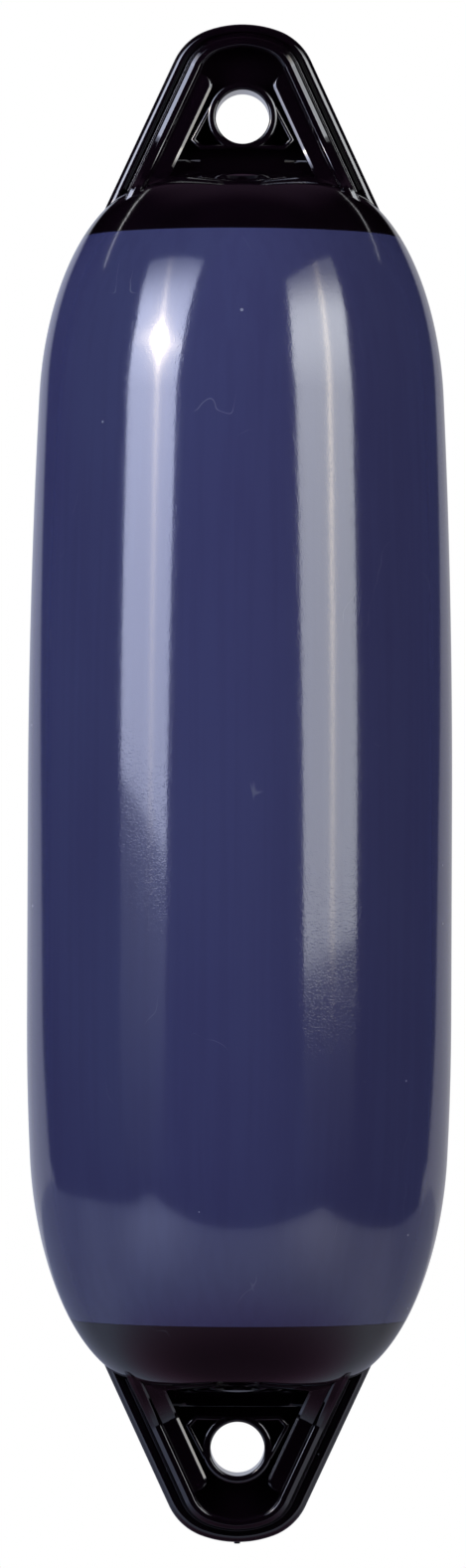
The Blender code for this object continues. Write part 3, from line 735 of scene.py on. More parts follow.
def skin(name, sections):
    """A closed solid through a row of sections with equal numbers of points."""
    corners = len(sections[0])
    points = [point for section in sections for point in section]
    faces = [list(range(corners)), list(range(len(points) - corners, len(points)))]
    for row in range(len(sections) - 1):
        start = row * corners
        for i in range(corners):
            j = (i + 1) % corners
            faces.append((start + i, start + j, start + corners + j, start + corners + i))
    return add_object(name, points, faces)


def round_edges(obj, width):
    """Rounds a solid's sharp edges."""
    bevel = obj.modifiers.new("round edges", "BEVEL")
    bevel.width = width
    bevel.segments = BEVEL_SEGMENTS
    bevel.limit_method = "ANGLE"
    bevel.angle_limit = BEVEL_FROM
    return obj


def boolean(obj, tools, operation):
    """Joins all the tools to an object, or cuts them all out of it, in one step."""
    group = bpy.data.collections.new(f"{obj.name} {operation.lower()}")
    bpy.context.scene.collection.children.link(group)
    for tool in tools:
        bpy.context.scene.collection.objects.unlink(tool)
        group.objects.link(tool)
    modifier = obj.modifiers.new(group.name, "BOOLEAN")
    modifier.operation = operation
    modifier.solver = "EXACT"
    modifier.operand_type = "COLLECTION"
    modifier.collection = group
    return group


def bake(obj, group=None):
    """Turns an object's modifiers into its mesh, welds its points and checks that it is closed."""
    graph = bpy.context.evaluated_depsgraph_get()
    mesh = bpy.data.meshes.new_from_object(obj.evaluated_get(graph))
    obj.modifiers.clear()
    if group:
        for tool in list(group.objects):
            bpy.data.objects.remove(tool, do_unlink=True)
        bpy.data.collections.remove(group)
    bm = bmesh.new()
    bm.from_mesh(mesh)
    bmesh.ops.remove_doubles(bm, verts=bm.verts, dist=WELD)
    bmesh.ops.dissolve_degenerate(bm, edges=bm.edges, dist=WELD)
    open_edges = sum(1 for edge in bm.edges if len(edge.link_faces) != 2)
    if open_edges:
        raise RuntimeError(f"{obj.name} has {open_edges} open edges")
    bm.to_mesh(mesh)
    bm.free()
    mesh.name = obj.name
    obj.data = mesh
    return obj


def settle(obj, group=None):
    """Bakes a piece and shades it smooth, with its edges kept sharp."""
    bake(obj, group)
    obj.data.shade_smooth()
    obj.data.set_sharp_from_angle(angle=SHARP_FROM)
    obj.modifiers.new("even normals", "WEIGHTED_NORMAL").keep_sharp = True
    return obj


def finish_piece(obj, slot, node):
    """Gives a piece its material, hides the CAD part that it replaces and attaches it to the body it rides
    on.
    """
    obj.data.materials.clear()
    obj.data.materials.append(slot_material(slot))
    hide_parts(node)
    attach(obj, ROOT)


class NodeBuilder:
    """Places and links the nodes of one tree."""

    def __init__(self, tree):
        self.tree = tree
        self.column = 0

    def add(self, kind, name, inputs=None, **settings):
        """A node with its settings and its inputs: numbers, colours or another node's output."""
        node = self.tree.nodes.new(kind)
        node.label = name
        node.name = name
        node.location = (220.0 * self.column, -160.0 * (self.column % 3))
        self.column += 1
        for key, value in settings.items():
            setattr(node, key, value)
        for key, value in (inputs or {}).items():
            if isinstance(value, bpy.types.NodeSocket):
                self.tree.links.new(value, node.inputs[key])
            else:
                node.inputs[key].default_value = value
        return node

    def math(self, operation, *values, clamp=False):
        """The result of a sum, product or other operation on numbers."""
        inputs = dict(enumerate(values))
        node = self.add("ShaderNodeMath", operation.lower(), inputs, operation=operation, use_clamp=clamp)
        return node.outputs[0]

    def product(self, *values):
        """The product of several numbers."""
        result = values[0]
        for value in values[1:]:
            result = self.math("MULTIPLY", result, value)
        return result

    def mix(self, factor, first, second):
        """A mix of two colours."""
        inputs = {0: factor, 6: first, 7: second}
        return self.add("ShaderNodeMix", "mix", inputs, data_type="RGBA").outputs[2]

    def emission(self, shade, strength):
        """Light of a colour and strength."""
        return self.add("ShaderNodeEmission", "light", {"Color": shade, "Strength": strength}).outputs[0]

    def mix_shader(self, factor, first, second):
        """A mix of two shaders."""
        return self.add("ShaderNodeMixShader", "mix shaders", {0: factor, 1: first, 2: second}).outputs[0]

    def ramp(self, value, low, high):
        """A smooth rise from 0 to 1 as a value goes from low to high."""
        inputs = {"Value": value, "From Min": low, "From Max": high}
        node = self.add("ShaderNodeMapRange", "rise", inputs, interpolation_type="SMOOTHSTEP")
        return node.outputs["Result"]

    def place(self, coordinates="Object"):
        """The point on the surface, in the object's coordinates in metres or in those of its UV layer."""
        return self.add("ShaderNodeTexCoord", "place").outputs[coordinates]

    def axes(self, coordinates="Object"):
        """That point's X, Y and Z."""
        return self.add("ShaderNodeSeparateXYZ", "axes", {0: self.place(coordinates)}).outputs

    def vector(self, operation, first, second):
        """The result of an operation on two vectors."""
        inputs = {0: first, 1: second}
        return self.add("ShaderNodeVectorMath", operation.lower(), inputs, operation=operation).outputs

    def position(self, scale=EVEN):
        """The point on the surface in metres, stretched by a scale."""
        return self.vector("MULTIPLY", self.place(), scale)[0]

    def noise(self, place, scale, detail=2.0):
        """Smooth noise, as a value and as a colour."""
        inputs = {"Vector": place, "Scale": scale, "Detail": detail}
        return self.add("ShaderNodeTexNoise", "noise", inputs).outputs


def new_group(name, inputs, outputs):
    """A new shader node group with named sockets, its builder and its sockets at both ends."""
    tree = bpy.data.node_groups.new(name, "ShaderNodeTree")
    kinds = {"value": "NodeSocketFloat", "colour": "NodeSocketColor"}
    for label, kind, default in inputs:
        socket = tree.interface.new_socket(label, in_out="INPUT", socket_type=kinds[kind])
        socket.default_value = default
    for label, kind in outputs:
        tree.interface.new_socket(label, in_out="OUTPUT", socket_type=kinds[kind])
    build = NodeBuilder(tree)
    source = build.add("NodeGroupInput", "inputs").outputs
    target = build.add("NodeGroupOutput", "outputs").inputs
    return tree, build, source, target


def orange_peel_group():
    """Fine separate grains on a skin that is otherwise smooth, with a very slow swell under them."""
    inputs = [
        ("Grain Size", "value", 0.001),
        ("Grain Height", "value", 0.00001),
        ("Swell Size", "value", 0.01),
        ("Swell Height", "value", 0.00001),
    ]
    tree, build, source, target = new_group("Orange peel", inputs, [("Height", "value")])
    place = build.position()
    fine = build.noise(place, build.math("DIVIDE", 1.0, source["Grain Size"]), detail=0.0)
    grains = build.ramp(fine[0], 0.50, 0.80)
    slow = build.noise(place, build.math("DIVIDE", 1.0, source["Swell Size"]), detail=0.0)
    swell = build.math("MULTIPLY", slow[0], source["Swell Height"])
    total = build.math("MULTIPLY_ADD", grains, source["Grain Height"], swell)
    tree.links.new(total, target["Height"])
    return tree


def colour_drift_group():
    """Soft clouds and lengthwise streaks between two shades."""
    inputs = [
        ("Shade", "colour", (0.1, 0.1, 0.1, 1.0)),
        ("Deep Shade", "colour", (0.05, 0.05, 0.05, 1.0)),
        ("Cloud Size", "value", 0.07),
        ("Streak Size", "value", 0.005),
        ("Streaks", "value", 0.4),
    ]
    outputs = [("Color", "colour"), ("Streak Height", "value")]
    tree, build, source, target = new_group("Colour drift", inputs, outputs)
    cloud_scale = build.math("DIVIDE", 1.0, source["Cloud Size"])
    cloud = build.ramp(build.noise(build.position((1.0, 1.0, 0.45)), cloud_scale, detail=3.0)[0], 0.35, 0.65)
    streak_scale = build.math("DIVIDE", 1.0, source["Streak Size"])
    streak = build.noise(build.position((1.0, 1.0, 0.025)), streak_scale)[0]
    share = build.math("MULTIPLY", build.ramp(streak, 0.4, 0.65), source["Streaks"])
    rest = build.math("MULTIPLY", cloud, build.math("SUBTRACT", 1.0, source["Streaks"]))
    factor = build.math("ADD", share, rest, clamp=True)
    tree.links.new(build.mix(factor, source["Shade"], source["Deep Shade"]), target["Color"])
    tree.links.new(streak, target["Streak Height"])
    return tree


def handling_group():
    """Sparse specks of dust and short rubbed hairlines."""
    inputs = [
        ("Speck Spacing", "value", 0.02),
        ("Speck Size", "value", 0.0005),
        ("Hairline Amount", "value", 0.5),
    ]
    outputs = [("Specks", "value"), ("Hairlines", "value")]
    tree, build, source, target = new_group("Handling marks", inputs, outputs)
    spacing = source["Speck Spacing"]
    inputs = {"Vector": build.position(), "Scale": build.math("DIVIDE", 1.0, spacing)}
    cells = build.add("ShaderNodeTexVoronoi", "cells", inputs).outputs
    distance = build.math("MULTIPLY", cells["Distance"], spacing)
    pick = build.add("ShaderNodeSeparateColor", "pick", {0: cells["Color"]}).outputs[0]
    size = build.math("MULTIPLY", source["Speck Size"], build.math("POWER", pick, 3.0))
    specks = build.ramp(build.math("SUBTRACT", size, distance), 0.0, 0.0001)
    tree.links.new(specks, target["Specks"])
    warp = build.noise(build.position(), 30.0)["Color"]
    bend = build.vector("MULTIPLY", warp, (0.018, 0.018, 0.018))[0]
    bent = build.vector("ADD", build.position((1.0, 1.0, 0.35)), bend)[0]
    lines = build.noise(bent, 55.0, detail=0.0)[0]
    gap = build.math("ABSOLUTE", build.math("SUBTRACT", lines, 0.5))
    thin = build.math("SUBTRACT", 1.0, build.ramp(gap, 0.0, 0.0035))
    few = build.ramp(build.noise(build.position(), 26.0)[0], 0.62, 0.70)
    tree.links.new(build.product(thin, few, source["Hairline Amount"]), target["Hairlines"])
    return tree


def edge_wear_and_sheen_group():
    """A mask on sharp outer edges, broken up by noise: rubbed wear, and on the black mouldings also a painted
    edge sheen.
    """
    inputs = [("Start", "value", 0.53), ("Full", "value", 0.62), ("Break Up", "value", 0.5)]
    tree, build, source, target = new_group("Rubbed edges", inputs, [("Mask", "value")])
    sharpness = build.add("ShaderNodeNewGeometry", "geometry").outputs["Pointiness"]
    edge = build.add("ShaderNodeMapRange", "edges", {0: sharpness, 1: source["Start"], 2: source["Full"]})
    broken = build.math("MULTIPLY", build.noise(build.position(), 320.0)[0], source["Break Up"])
    kept = build.math("SUBTRACT", 1.0, broken)
    tree.links.new(build.math("MULTIPLY", edge.outputs[0], kept, clamp=True), target["Mask"])
    return tree


GROUPS = {
    "Orange peel": orange_peel_group,
    "Colour drift": colour_drift_group,
    "Handling marks": handling_group,
    "Rubbed edges": edge_wear_and_sheen_group,
}


def place_group(build, name, inputs):
    """A placed node group, which is built the first time that a material asks for it."""
    tree = bpy.data.node_groups.get(name) or GROUPS[name]()
    node = build.add("ShaderNodeGroup", name, node_tree=tree)
    for key, value in inputs.items():
        node.inputs[key].default_value = value
    return node.outputs


def new_material(name):
    """A material with a shader that waits for its inputs, and the builder of its tree."""
    material = bpy.data.materials.new(name)
    material.use_nodes = True
    tree = material.node_tree
    shader = tree.nodes["Principled BSDF"]
    shader.location = (2600.0, 0.0)
    tree.nodes["Material Output"].location = (2900.0, 0.0)
    return material, NodeBuilder(tree), shader.inputs


def opaque(shade, share=1.0):
    """A colour, or a share of it, with full cover."""
    return (*(share * value for value in shade), 1.0)


def dirt_share(build, marks, share):
    """How much of the surface the specks and hairlines cover."""
    return build.math("MULTIPLY", build.math("MAXIMUM", marks["Specks"], marks["Hairlines"]), share)


def wire_up(build, shader, shade, roughness, height, refraction):
    """Links a piece's shader to its colour and roughness and to a bump from its height."""
    inputs = {"Height": height, "Distance": 1.0, "Strength": 1.0}
    normal = build.add("ShaderNodeBump", "bump", inputs).outputs[0]
    for key, value in (("Base Color", shade), ("Roughness", roughness), ("Normal", normal)):
        build.tree.links.new(value, shader[key])
    shader["IOR"].default_value = refraction


def blue_material():
    """Glossy blue PVC with orange peel, faint lengthwise streaks, dust and hairlines."""
    finish = bpy.context.scene.fender.finish
    material, build, shader = new_material("glossy blue pvc")
    drift = place_group(build, "Colour drift", {
        "Shade": opaque(finish.blue),
        "Deep Shade": opaque(finish.blue_deep),
        "Cloud Size": finish.cloud_size,
        "Streak Size": finish.streak_size,
        "Streaks": 0.45,
    })
    marks = place_group(build, "Handling marks", {
        "Speck Spacing": 0.016,
        "Speck Size": 0.00085,
        "Hairline Amount": 0.35,
    })
    peel = place_group(build, "Orange peel", {
        "Grain Size": finish.peel_size,
        "Grain Height": finish.peel_height,
        "Swell Size": 0.012,
        "Swell Height": finish.swell_height,
    })
    dirt = dirt_share(build, marks, 0.55)
    shade = build.mix(dirt, drift["Color"], opaque(finish.dust))
    rough = build.math("MULTIPLY_ADD", drift["Streak Height"], 0.05, finish.pvc_roughness)
    rough = build.math("MULTIPLY_ADD", dirt, finish.dirt_roughness, rough)
    ripple = build.math("MULTIPLY", drift["Streak Height"], finish.ripple_height)
    wire_up(build, shader, shade, rough, build.math("ADD", peel["Height"], ripple), finish.refraction)
    shader["Specular IOR Level"].default_value = finish.pvc_specular
    return material


def black_material():
    """Moulded black PVC, a little less glossy, with fine grain and sharp edges painted paler: partly rubbed
    wear, partly a painted edge sheen.
    """
    finish = bpy.context.scene.fender.finish
    material, build, shader = new_material("moulded black pvc")
    drift = place_group(build, "Colour drift", {
        "Shade": opaque(finish.black),
        "Deep Shade": opaque(finish.black, 0.7),
        "Cloud Size": 0.03,
        "Streak Size": 0.012,
        "Streaks": 0.2,
    })
    marks = place_group(build, "Handling marks", {
        "Speck Spacing": 0.013,
        "Speck Size": 0.0006,
        "Hairline Amount": 0.25,
    })
    peel = place_group(build, "Orange peel", {
        "Grain Size": finish.grain_size,
        "Grain Height": finish.grain_height,
        "Swell Size": 0.006,
        "Swell Height": 2.0 * finish.swell_height,
    })
    # The sharp edges are painted paler: partly rubbed wear, partly a painted sheen that stands in for the
    # glints along the ribs.
    rubbed = place_group(build, "Rubbed edges", {"Start": 0.53, "Full": 0.64, "Break Up": 0.5})
    worn_and_sheen = build.mix(build.math("MULTIPLY", rubbed["Mask"], 0.6), drift["Color"], opaque(finish.black_edge_wear_and_sheen))
    dirt = dirt_share(build, marks, 0.4)
    rough = build.math("MULTIPLY_ADD", drift["Streak Height"], 0.06, finish.pvc_roughness)
    rough = build.math("MULTIPLY_ADD", dirt, finish.dirt_roughness, rough)
    shade = build.mix(dirt, worn_and_sheen, opaque(finish.dust))
    wire_up(build, shader, shade, rough, peel["Height"], finish.refraction)
    shader["Specular IOR Level"].default_value = finish.pvc_specular
    return material


def rubber_material():
    """Matt black rubber with a fine bloom."""
    finish = bpy.context.scene.fender.finish
    material, build, shader = new_material("matt black rubber")
    drift = place_group(build, "Colour drift", {
        "Shade": opaque(finish.rubber),
        "Deep Shade": opaque(finish.rubber, 0.6),
        "Cloud Size": 0.006,
        "Streak Size": 0.002,
        "Streaks": 0.1,
    })
    marks = place_group(build, "Handling marks", {
        "Speck Spacing": 0.004,
        "Speck Size": 0.0004,
        "Hairline Amount": 0.2,
    })
    peel = place_group(build, "Orange peel", {
        "Grain Size": 0.0004,
        "Grain Height": 0.00001,
        "Swell Height": 0.0,
    })
    dirt = build.math("MULTIPLY", marks["Specks"], 0.35)
    shade = build.mix(dirt, drift["Color"], opaque(finish.dust))
    rough = build.math("MULTIPLY_ADD", drift["Streak Height"], 0.2, 0.5)
    wire_up(build, shader, shade, rough, peel["Height"], finish.rubber_refraction)
    return material


def nylon_material():
    """Satin black nylon with edges rubbed by the screwdriver."""
    finish = bpy.context.scene.fender.finish
    material, build, shader = new_material("satin black nylon")
    drift = place_group(build, "Colour drift", {
        "Shade": opaque(finish.nylon),
        "Deep Shade": opaque(finish.nylon, 0.7),
        "Cloud Size": 0.005,
        "Streak Size": 0.002,
        "Streaks": 0.1,
    })
    rubbed = place_group(build, "Rubbed edges", {"Start": 0.52, "Full": 0.60, "Break Up": 0.4})
    peel = place_group(build, "Orange peel", {
        "Grain Size": 0.0005,
        "Grain Height": 0.000006,
        "Swell Height": 0.0,
    })
    shade = build.mix(rubbed["Mask"], drift["Color"], opaque(finish.nylon, 3.0))
    rough = build.math("MULTIPLY_ADD", drift["Streak Height"], 0.2, 0.25)
    wire_up(build, shader, shade, rough, peel["Height"], finish.refraction)
    return material


MATERIALS = {
    "blue_pvc": blue_material,
    "black_pvc": black_material,
    "black_rubber": rubber_material,
    "black_nylon": nylon_material,
}


def slot_material(slot):
    """The finish of a material slot, made when it is first needed."""
    found = [material for material in bpy.data.materials if material.get("slot") == slot]
    if found:
        return found[0]
    material = MATERIALS[slot]()
    material["slot"] = slot
    return material


class FENDER_OT_barrel(bpy.types.Operator):
    """Make the inflated barrel"""

    bl_idname = "fender.barrel"
    bl_label = "Barrel"

    def execute(self, context):
        fender = context.scene.fender
        shell = fender.shell

        def side(end, inset, rings):
            mouth = end.mouth_depth + shell.seam
            shoulder_end = end.crown_depth + end.shoulder_length
            depths = end.spread_depths(mouth, shoulder_end, rings)
            left = 0.5 * shell.eye_spacing - shoulder_end
            depths += [shoulder_end + left * i / shell.barrel_rings for i in range(1, shell.barrel_rings + 1)]
            return [end.wall_point(depth, inset) for depth in depths]

        def wall(inset, rings):
            upper, lower = (side(end, inset, rings) for end in (fender.top, fender.bottom))
            heights = [(radius, -depth) for radius, depth in upper]
            return heights + [(radius, depth - shell.eye_spacing) for radius, depth in lower[-2::-1]]

        profile = wall(0.0, shell.shoulder_rings) + wall(shell.body_wall, shell.inner_rings)[::-1]
        barrel = turned("fender_barrel", profile, shell.facets)
        settle(barrel)
        finish_piece(barrel, "blue_pvc", "body_shell")
        return {"FINISHED"}


def cap_plug(name, end):
    """The cap as a solid plug, with the step and skirt that fit the barrel's mouth."""
    shell = bpy.context.scene.fender.shell
    mouth = end.mouth_depth
    crown = [end.wall_point(depth) for depth in end.spread_depths(end.crown_depth, mouth, shell.crown_rings)]
    shares = [i / shell.inner_rings for i in range(shell.inner_rings + 1)]
    skirt = [end.wall_point(mouth + shell.skirt_length * share, shell.lap) for share in shares]
    profile = crown + skirt + [(0.0, skirt[-1][1])]
    return turned(name, [(radius, -depth) for radius, depth in profile], shell.facets)


def cap_cavity(name, end):
    """The inside of the cap, run out past the end of the skirt."""
    shell = bpy.context.scene.fender.shell
    last = end.mouth_depth + shell.skirt_length
    depths = end.spread_depths(end.crown_depth, last, shell.inner_rings)
    inner = [end.wall_point(depth, shell.cap_wall) for depth in depths]
    inner.append((inner[-1][0], inner[-1][1] + shell.cap_wall))
    profile = inner + [(0.0, inner[-1][1])]
    cavity = turned(name, [(radius, -depth) for radius, depth in profile], shell.facets)
    cavity.rotation_euler.z = math.pi / shell.facets
    return cavity


def leg(name, end, hand):
    """The rib beside the ridge, from the cap up to its round end near the rope hole."""
    fender = bpy.context.scene.fender
    lug, ribs = fender.lug, fender.ribs
    root = lug.ridge_top + 0.5 * lug.ridge_crest
    radius = 0.5 * ribs.leg_width
    middle = lug.ridge_end + radius
    straight_end = radius - ribs.leg_end_height
    sections = []

    def add_section(depth, inner):
        station = lug.side_station(depth, hand)
        front = []
        for offset, drop in ((root, 0.0), (inner - ribs.leg_bevel, 0.0), (inner, ribs.leg_bevel_drop)):
            x, z = inset_point(station, offset)
            front.append((x, ribs.leg_drop + drop - lug.half_thickness_at(z), z))
        sections.append(both_faces(front))

    for depth in reversed(lug.flare_depths(end, ribs.leg_steps)):
        add_section(depth + fender.shell.clearance, lug.ridge_end + ribs.leg_width)
    for i in range(lug.round_steps + 1):
        turn = ribs.leg_end_sweep * i / lug.round_steps
        add_section(straight_end - radius * math.sin(turn), middle + radius * math.cos(turn))
    return round_edges(skin(name, sections), LEG_ROUNDING * lug.edge_rounding)


def web_root(name, end):
    """The hollow curve by which the web grows out of the cap's crown, from just inside the web's faces."""
    fender = bpy.context.scene.fender
    ribs, shell = fender.ribs, fender.shell
    start = ribs.web_half_thickness - shell.clearance
    curve = [
        (start + ribs.root_radius * out, ribs.root_radius * left - end.crown_depth)
        for out, left in quarter_round(fender.lug.round_steps)
    ]
    curve.append((curve[-1][0], -end.crown_depth - 0.5 * shell.cap_wall))
    outline = curve + [(-y, z) for y, z in reversed(curve)]
    ends = (-ribs.root_half_width, ribs.root_half_width)
    return skin(name, [[(x, y, z) for y, z in outline] for x in ends])


def layered(name, outlines):
    """A plate built up from (outline, distance from the middle plane) layers, the same on both sides."""
    front = [[(x, -y, z) for x, z in outline] for outline, y in outlines]
    back = [[(x, y, z) for x, z in outline] for outline, y in reversed(outlines)]
    return skin(name, front + back)


def boss(name):
    """The round boss of the rope hole, with a slanted rim, cut off straight at the keystone's bar."""
    fender = bpy.context.scene.fender
    eye = fender.eye

    def outline(radius):
        points = []
        for i in range(eye.facets):
            turn = 2.0 * math.pi * (i + 0.5) / eye.facets
            points.append((radius * math.sin(turn), max(radius * math.cos(turn), -eye.bar_depth)))
        return points

    face = eye.boss_half_thickness
    layers = [
        (outline(eye.boss_radius - inward * eye.boss_bevel), face - down * eye.boss_bevel_drop)
        for inward, down in BOSS_RIM
    ]
    return layered(name, layers)


def keystone(name):
    """The thin rib round the boss: a bar across, two hips and two slanted sides that run up to the boss."""
    fender = bpy.context.scene.fender
    eye = fender.eye
    half = [
        (0.0, eye.bar_dip - eye.bar_depth),
        (eye.bar_half_width, -eye.bar_depth),
        (eye.hip_half_width, eye.hip_rise - eye.bar_depth),
        (eye.boss_radius - 0.5 * eye.key_width, eye.key_top),
    ]
    route = [Vector((-x, z)) for x, z in reversed(half[1:])] + [Vector(point) for point in half]

    def outline(half_width):
        sides = ([], [])
        for i, point in enumerate(route):
            before = (point - route[max(i - 1, 0)]).normalized()
            after = (route[min(i + 1, len(route) - 1)] - point).normalized()
            along = (before + after).normalized()
            mitre = 1.0 / max(along.dot(before), along.dot(after))
            across = Vector((-along.y, along.x)) * half_width * mitre
            sides[0].append(point + across)
            sides[1].append(point - across)
        return [tuple(point) for point in sides[0] + sides[1][::-1]]

    face = fender.lug.half_thickness - eye.key_drop
    radius = 0.5 * eye.key_width
    layers = []
    for i in range(fender.lug.fillet_steps):
        turn = KEY_ROUND_START + KEY_ROUND_SWEEP * i / (fender.lug.fillet_steps - 1)
        layers.append((outline(radius * math.sin(turn)), face - radius * (1.0 - math.cos(turn))))
    return layered(name, layers)


def hole_cutter(name):
    """The rope hole, with rounded lips at both faces."""
    fender = bpy.context.scene.fender
    eye = fender.eye
    lip = [
        (eye.hole_radius + eye.lip_radius * out, eye.boss_half_thickness - eye.lip_radius * left)
        for out, left in quarter_round(fender.lug.round_steps)
    ]
    outside = lip[-1][0], fender.lug.half_thickness + eye.lip_radius
    upper = [(0.0, outside[1]), outside] + lip[::-1]
    profile = upper + [(radius, -height) for radius, height in reversed(upper)]
    cutter = turned(name, profile, eye.facets)
    cutter.rotation_euler = (0.5 * math.pi, 0.0, 0.0)
    return cutter


def end_moulding(name, end, more_ribs=(), more_cutters=()):
    """An end moulding with its eye at the origin, pointing up."""
    fender = bpy.context.scene.fender
    lug = fender.lug
    stations = lug.stations(end)
    web_outline = [inset_point(station, lug.ridge_top) for station in stations]
    ribs = [
        skin(f"{name} edge", [lug.edge_section(station) for station in stations]),
        leg(f"{name} left leg", end, -1.0),
        leg(f"{name} right leg", end, 1.0),
        prism(f"{name} web", web_outline, fender.ribs.web_half_thickness),
        web_root(f"{name} web root", end),
        boss(f"{name} boss"),
        keystone(f"{name} keystone"),
    ]
    moulding = cap_plug(name, end)
    bake(moulding, boolean(moulding, ribs + list(more_ribs), "UNION"))
    cutters = [cap_cavity(f"{name} cavity", end), hole_cutter(f"{name} rope hole")]
    return settle(moulding, boolean(moulding, cutters + list(more_cutters), "DIFFERENCE"))


def valve_turned(name, profile):
    """A turned piece or tool on the valve's axis, from (radius, depth) points."""
    valve = bpy.context.scene.fender.valve
    piece = turned(name, [(radius, -depth) for radius, depth in profile], valve.facets)
    piece.data.transform(Matrix.Translation((0.0, valve.offset, 0.0)))
    return piece


def valve_collar(end):
    """The round wall that shields the valve."""
    valve = bpy.context.scene.fender.valve
    top, _, bead = valve.depths(end)
    radius = valve.seat_radius + valve.collar_wall
    collar = valve_turned("valve collar", [(0.0, top), (radius, top), (radius, bead), (0.0, bead)])
    return round_edges(collar, COLLAR_ROUNDING * valve.edge_rounding)


def valve_seat(end):
    """The stepped cutter for the valve's seat and the hole under it."""
    valve = bpy.context.scene.fender.valve
    top, seat, bead = valve.depths(end)
    start, last = top - valve.clearance, bead + valve.bush_bead_length
    profile = [
        (0.0, start),
        (valve.seat_radius, start),
        (valve.seat_radius, seat),
        (valve.hole_radius, seat),
        (valve.hole_radius, last),
        (0.0, last),
    ]
    return valve_turned("valve seat", profile)


class FENDER_OT_ends(bpy.types.Operator):
    """Make the two end mouldings with their ribbed rope eyes"""

    bl_idname = "fender.ends"
    bl_label = "End mouldings"

    def execute(self, context):
        fender = context.scene.fender
        collar, seat = valve_collar(fender.top), valve_seat(fender.top)
        finish_piece(end_moulding("top_end_moulding", fender.top, [collar], [seat]), "black_pvc", "top_end")

        eye = fender.eye
        root = fender.lug.tip_reach - fender.lug.flange_rounding
        profile = [(0.0, NIB_REACH), (eye.nib_radius, NIB_REACH), (eye.nib_radius, root), (0.0, root)]
        nib = round_edges(turned("nib", profile, NIB_FACETS), NIB_ROUNDING)
        bottom = end_moulding("bottom_end_moulding", fender.bottom, [nib])
        place = Matrix.Translation((0.0, 0.0, -fender.shell.eye_spacing)) @ Matrix.Rotation(math.pi, 4, "Y")
        bottom.data.transform(place)
        finish_piece(bottom, "black_pvc", "bottom_end")
        return {"FINISHED"}


class FENDER_OT_valve(bpy.types.Operator):
    """Make the valve's bush, washer and screw"""

    bl_idname = "fender.valve"
    bl_label = "Valve"

    def execute(self, context):
        fender = context.scene.fender
        valve = fender.valve
        _, seat, bead = valve.depths(fender.top)
        gap = valve.clearance
        stem = valve.hole_radius - gap
        rim = valve.seat_radius - gap
        flange_bottom = seat - gap
        flange_top = flange_bottom - valve.bush_flange
        bush_end = bead + valve.bush_bead_length
        bush = valve_turned("valve_bush_rubber", [
            (valve.bush_bore, flange_top),
            (rim, flange_top),
            (rim, flange_bottom),
            (stem, flange_bottom),
            (stem, bead),
            (stem + valve.bush_bead, bead),
            (stem, bush_end),
            (valve.bush_bore, bush_end),
        ])
        settle(round_edges(bush, valve.edge_rounding))
        finish_piece(bush, "black_rubber", "valve_bush")

        washer_bottom = flange_top - gap
        washer_top = washer_bottom - valve.washer_thickness
        outer = valve.bush_bore + valve.washer_width
        washer = valve_turned("valve_washer_rubber", [
            (valve.bush_bore, washer_top),
            (outer, washer_top),
            (outer, washer_bottom),
            (valve.bush_bore, washer_bottom),
        ])
        settle(round_edges(washer, valve.edge_rounding))
        finish_piece(washer, "black_rubber", "valve_washer")

        bottom = washer_top - gap
        top = bottom - valve.head_thickness
        tip = bush_end - valve.tip_setback
        shank = valve.bush_bore - gap
        head = outer + valve.head_overhang
        screw = valve_turned("valve_screw_plug", [
            (0.0, top),
            (head - valve.head_bevel, top),
            (head, top + valve.head_bevel),
            (head, bottom),
            (shank, bottom),
            (shank, tip - 0.5 * shank),
            (0.5 * shank, tip),
            (0.0, tip),
        ])
        floor, roof, reach = -top - valve.slot_depth, valve.slot_depth - top, 2.0 * head
        outline = [(-reach, floor), (reach, floor), (reach, roof), (-reach, roof)]
        slot = prism("screw slot", outline, 0.5 * valve.slot_width)
        slot.data.transform(Matrix.Translation((0.0, valve.offset, 0.0)))
        cut = boolean(screw, [slot], "DIFFERENCE")
        round_edges(screw, valve.edge_rounding)
        settle(screw, cut)
        finish_piece(screw, "black_nylon", "valve_screw")
        return {"FINISHED"}


def stage_object(name, points, faces, material, gloss_only=False):
    """A flat piece of the studio."""
    mesh = bpy.data.meshes.new(name)
    mesh.from_pydata(points, [], faces)
    mesh.materials.append(material)
    obj = link(name, mesh)
    if gloss_only:
        obj.visible_camera = False
        obj.visible_diffuse = False
        obj.visible_shadow = False
    return obj


def lightpath_share(build):
    """1 for rays that see the surroundings as a picture: camera, gloss and glass."""
    path = build.add("ShaderNodeLightPath", "rays").outputs
    seen = build.math("MAXIMUM", path["Is Camera Ray"], path["Is Glossy Ray"])
    return build.math("MAXIMUM", seen, path["Is Transmission Ray"])


def empty_tree(owner):
    """The builder of a material's or a world's tree, which starts empty."""
    owner.use_nodes = True
    owner.node_tree.nodes.clear()
    return NodeBuilder(owner.node_tree)


def glow_material(name, build_glow, settings):
    """A material whose surface is the shader that a function builds from some settings."""
    material = bpy.data.materials.new(name)
    build = empty_tree(material)
    build.add("ShaderNodeOutputMaterial", "output", {"Surface": build_glow(build, settings)})
    return material


def gloss_or_fill(build, shown, shade, strength):
    """What is shown for the gloss, and an even light of its own for matt surfaces."""
    diffuse = build.add("ShaderNodeLightPath", "rays").outputs["Is Diffuse Ray"]
    return build.mix_shader(diffuse, shown, build.emission(opaque(shade), strength))


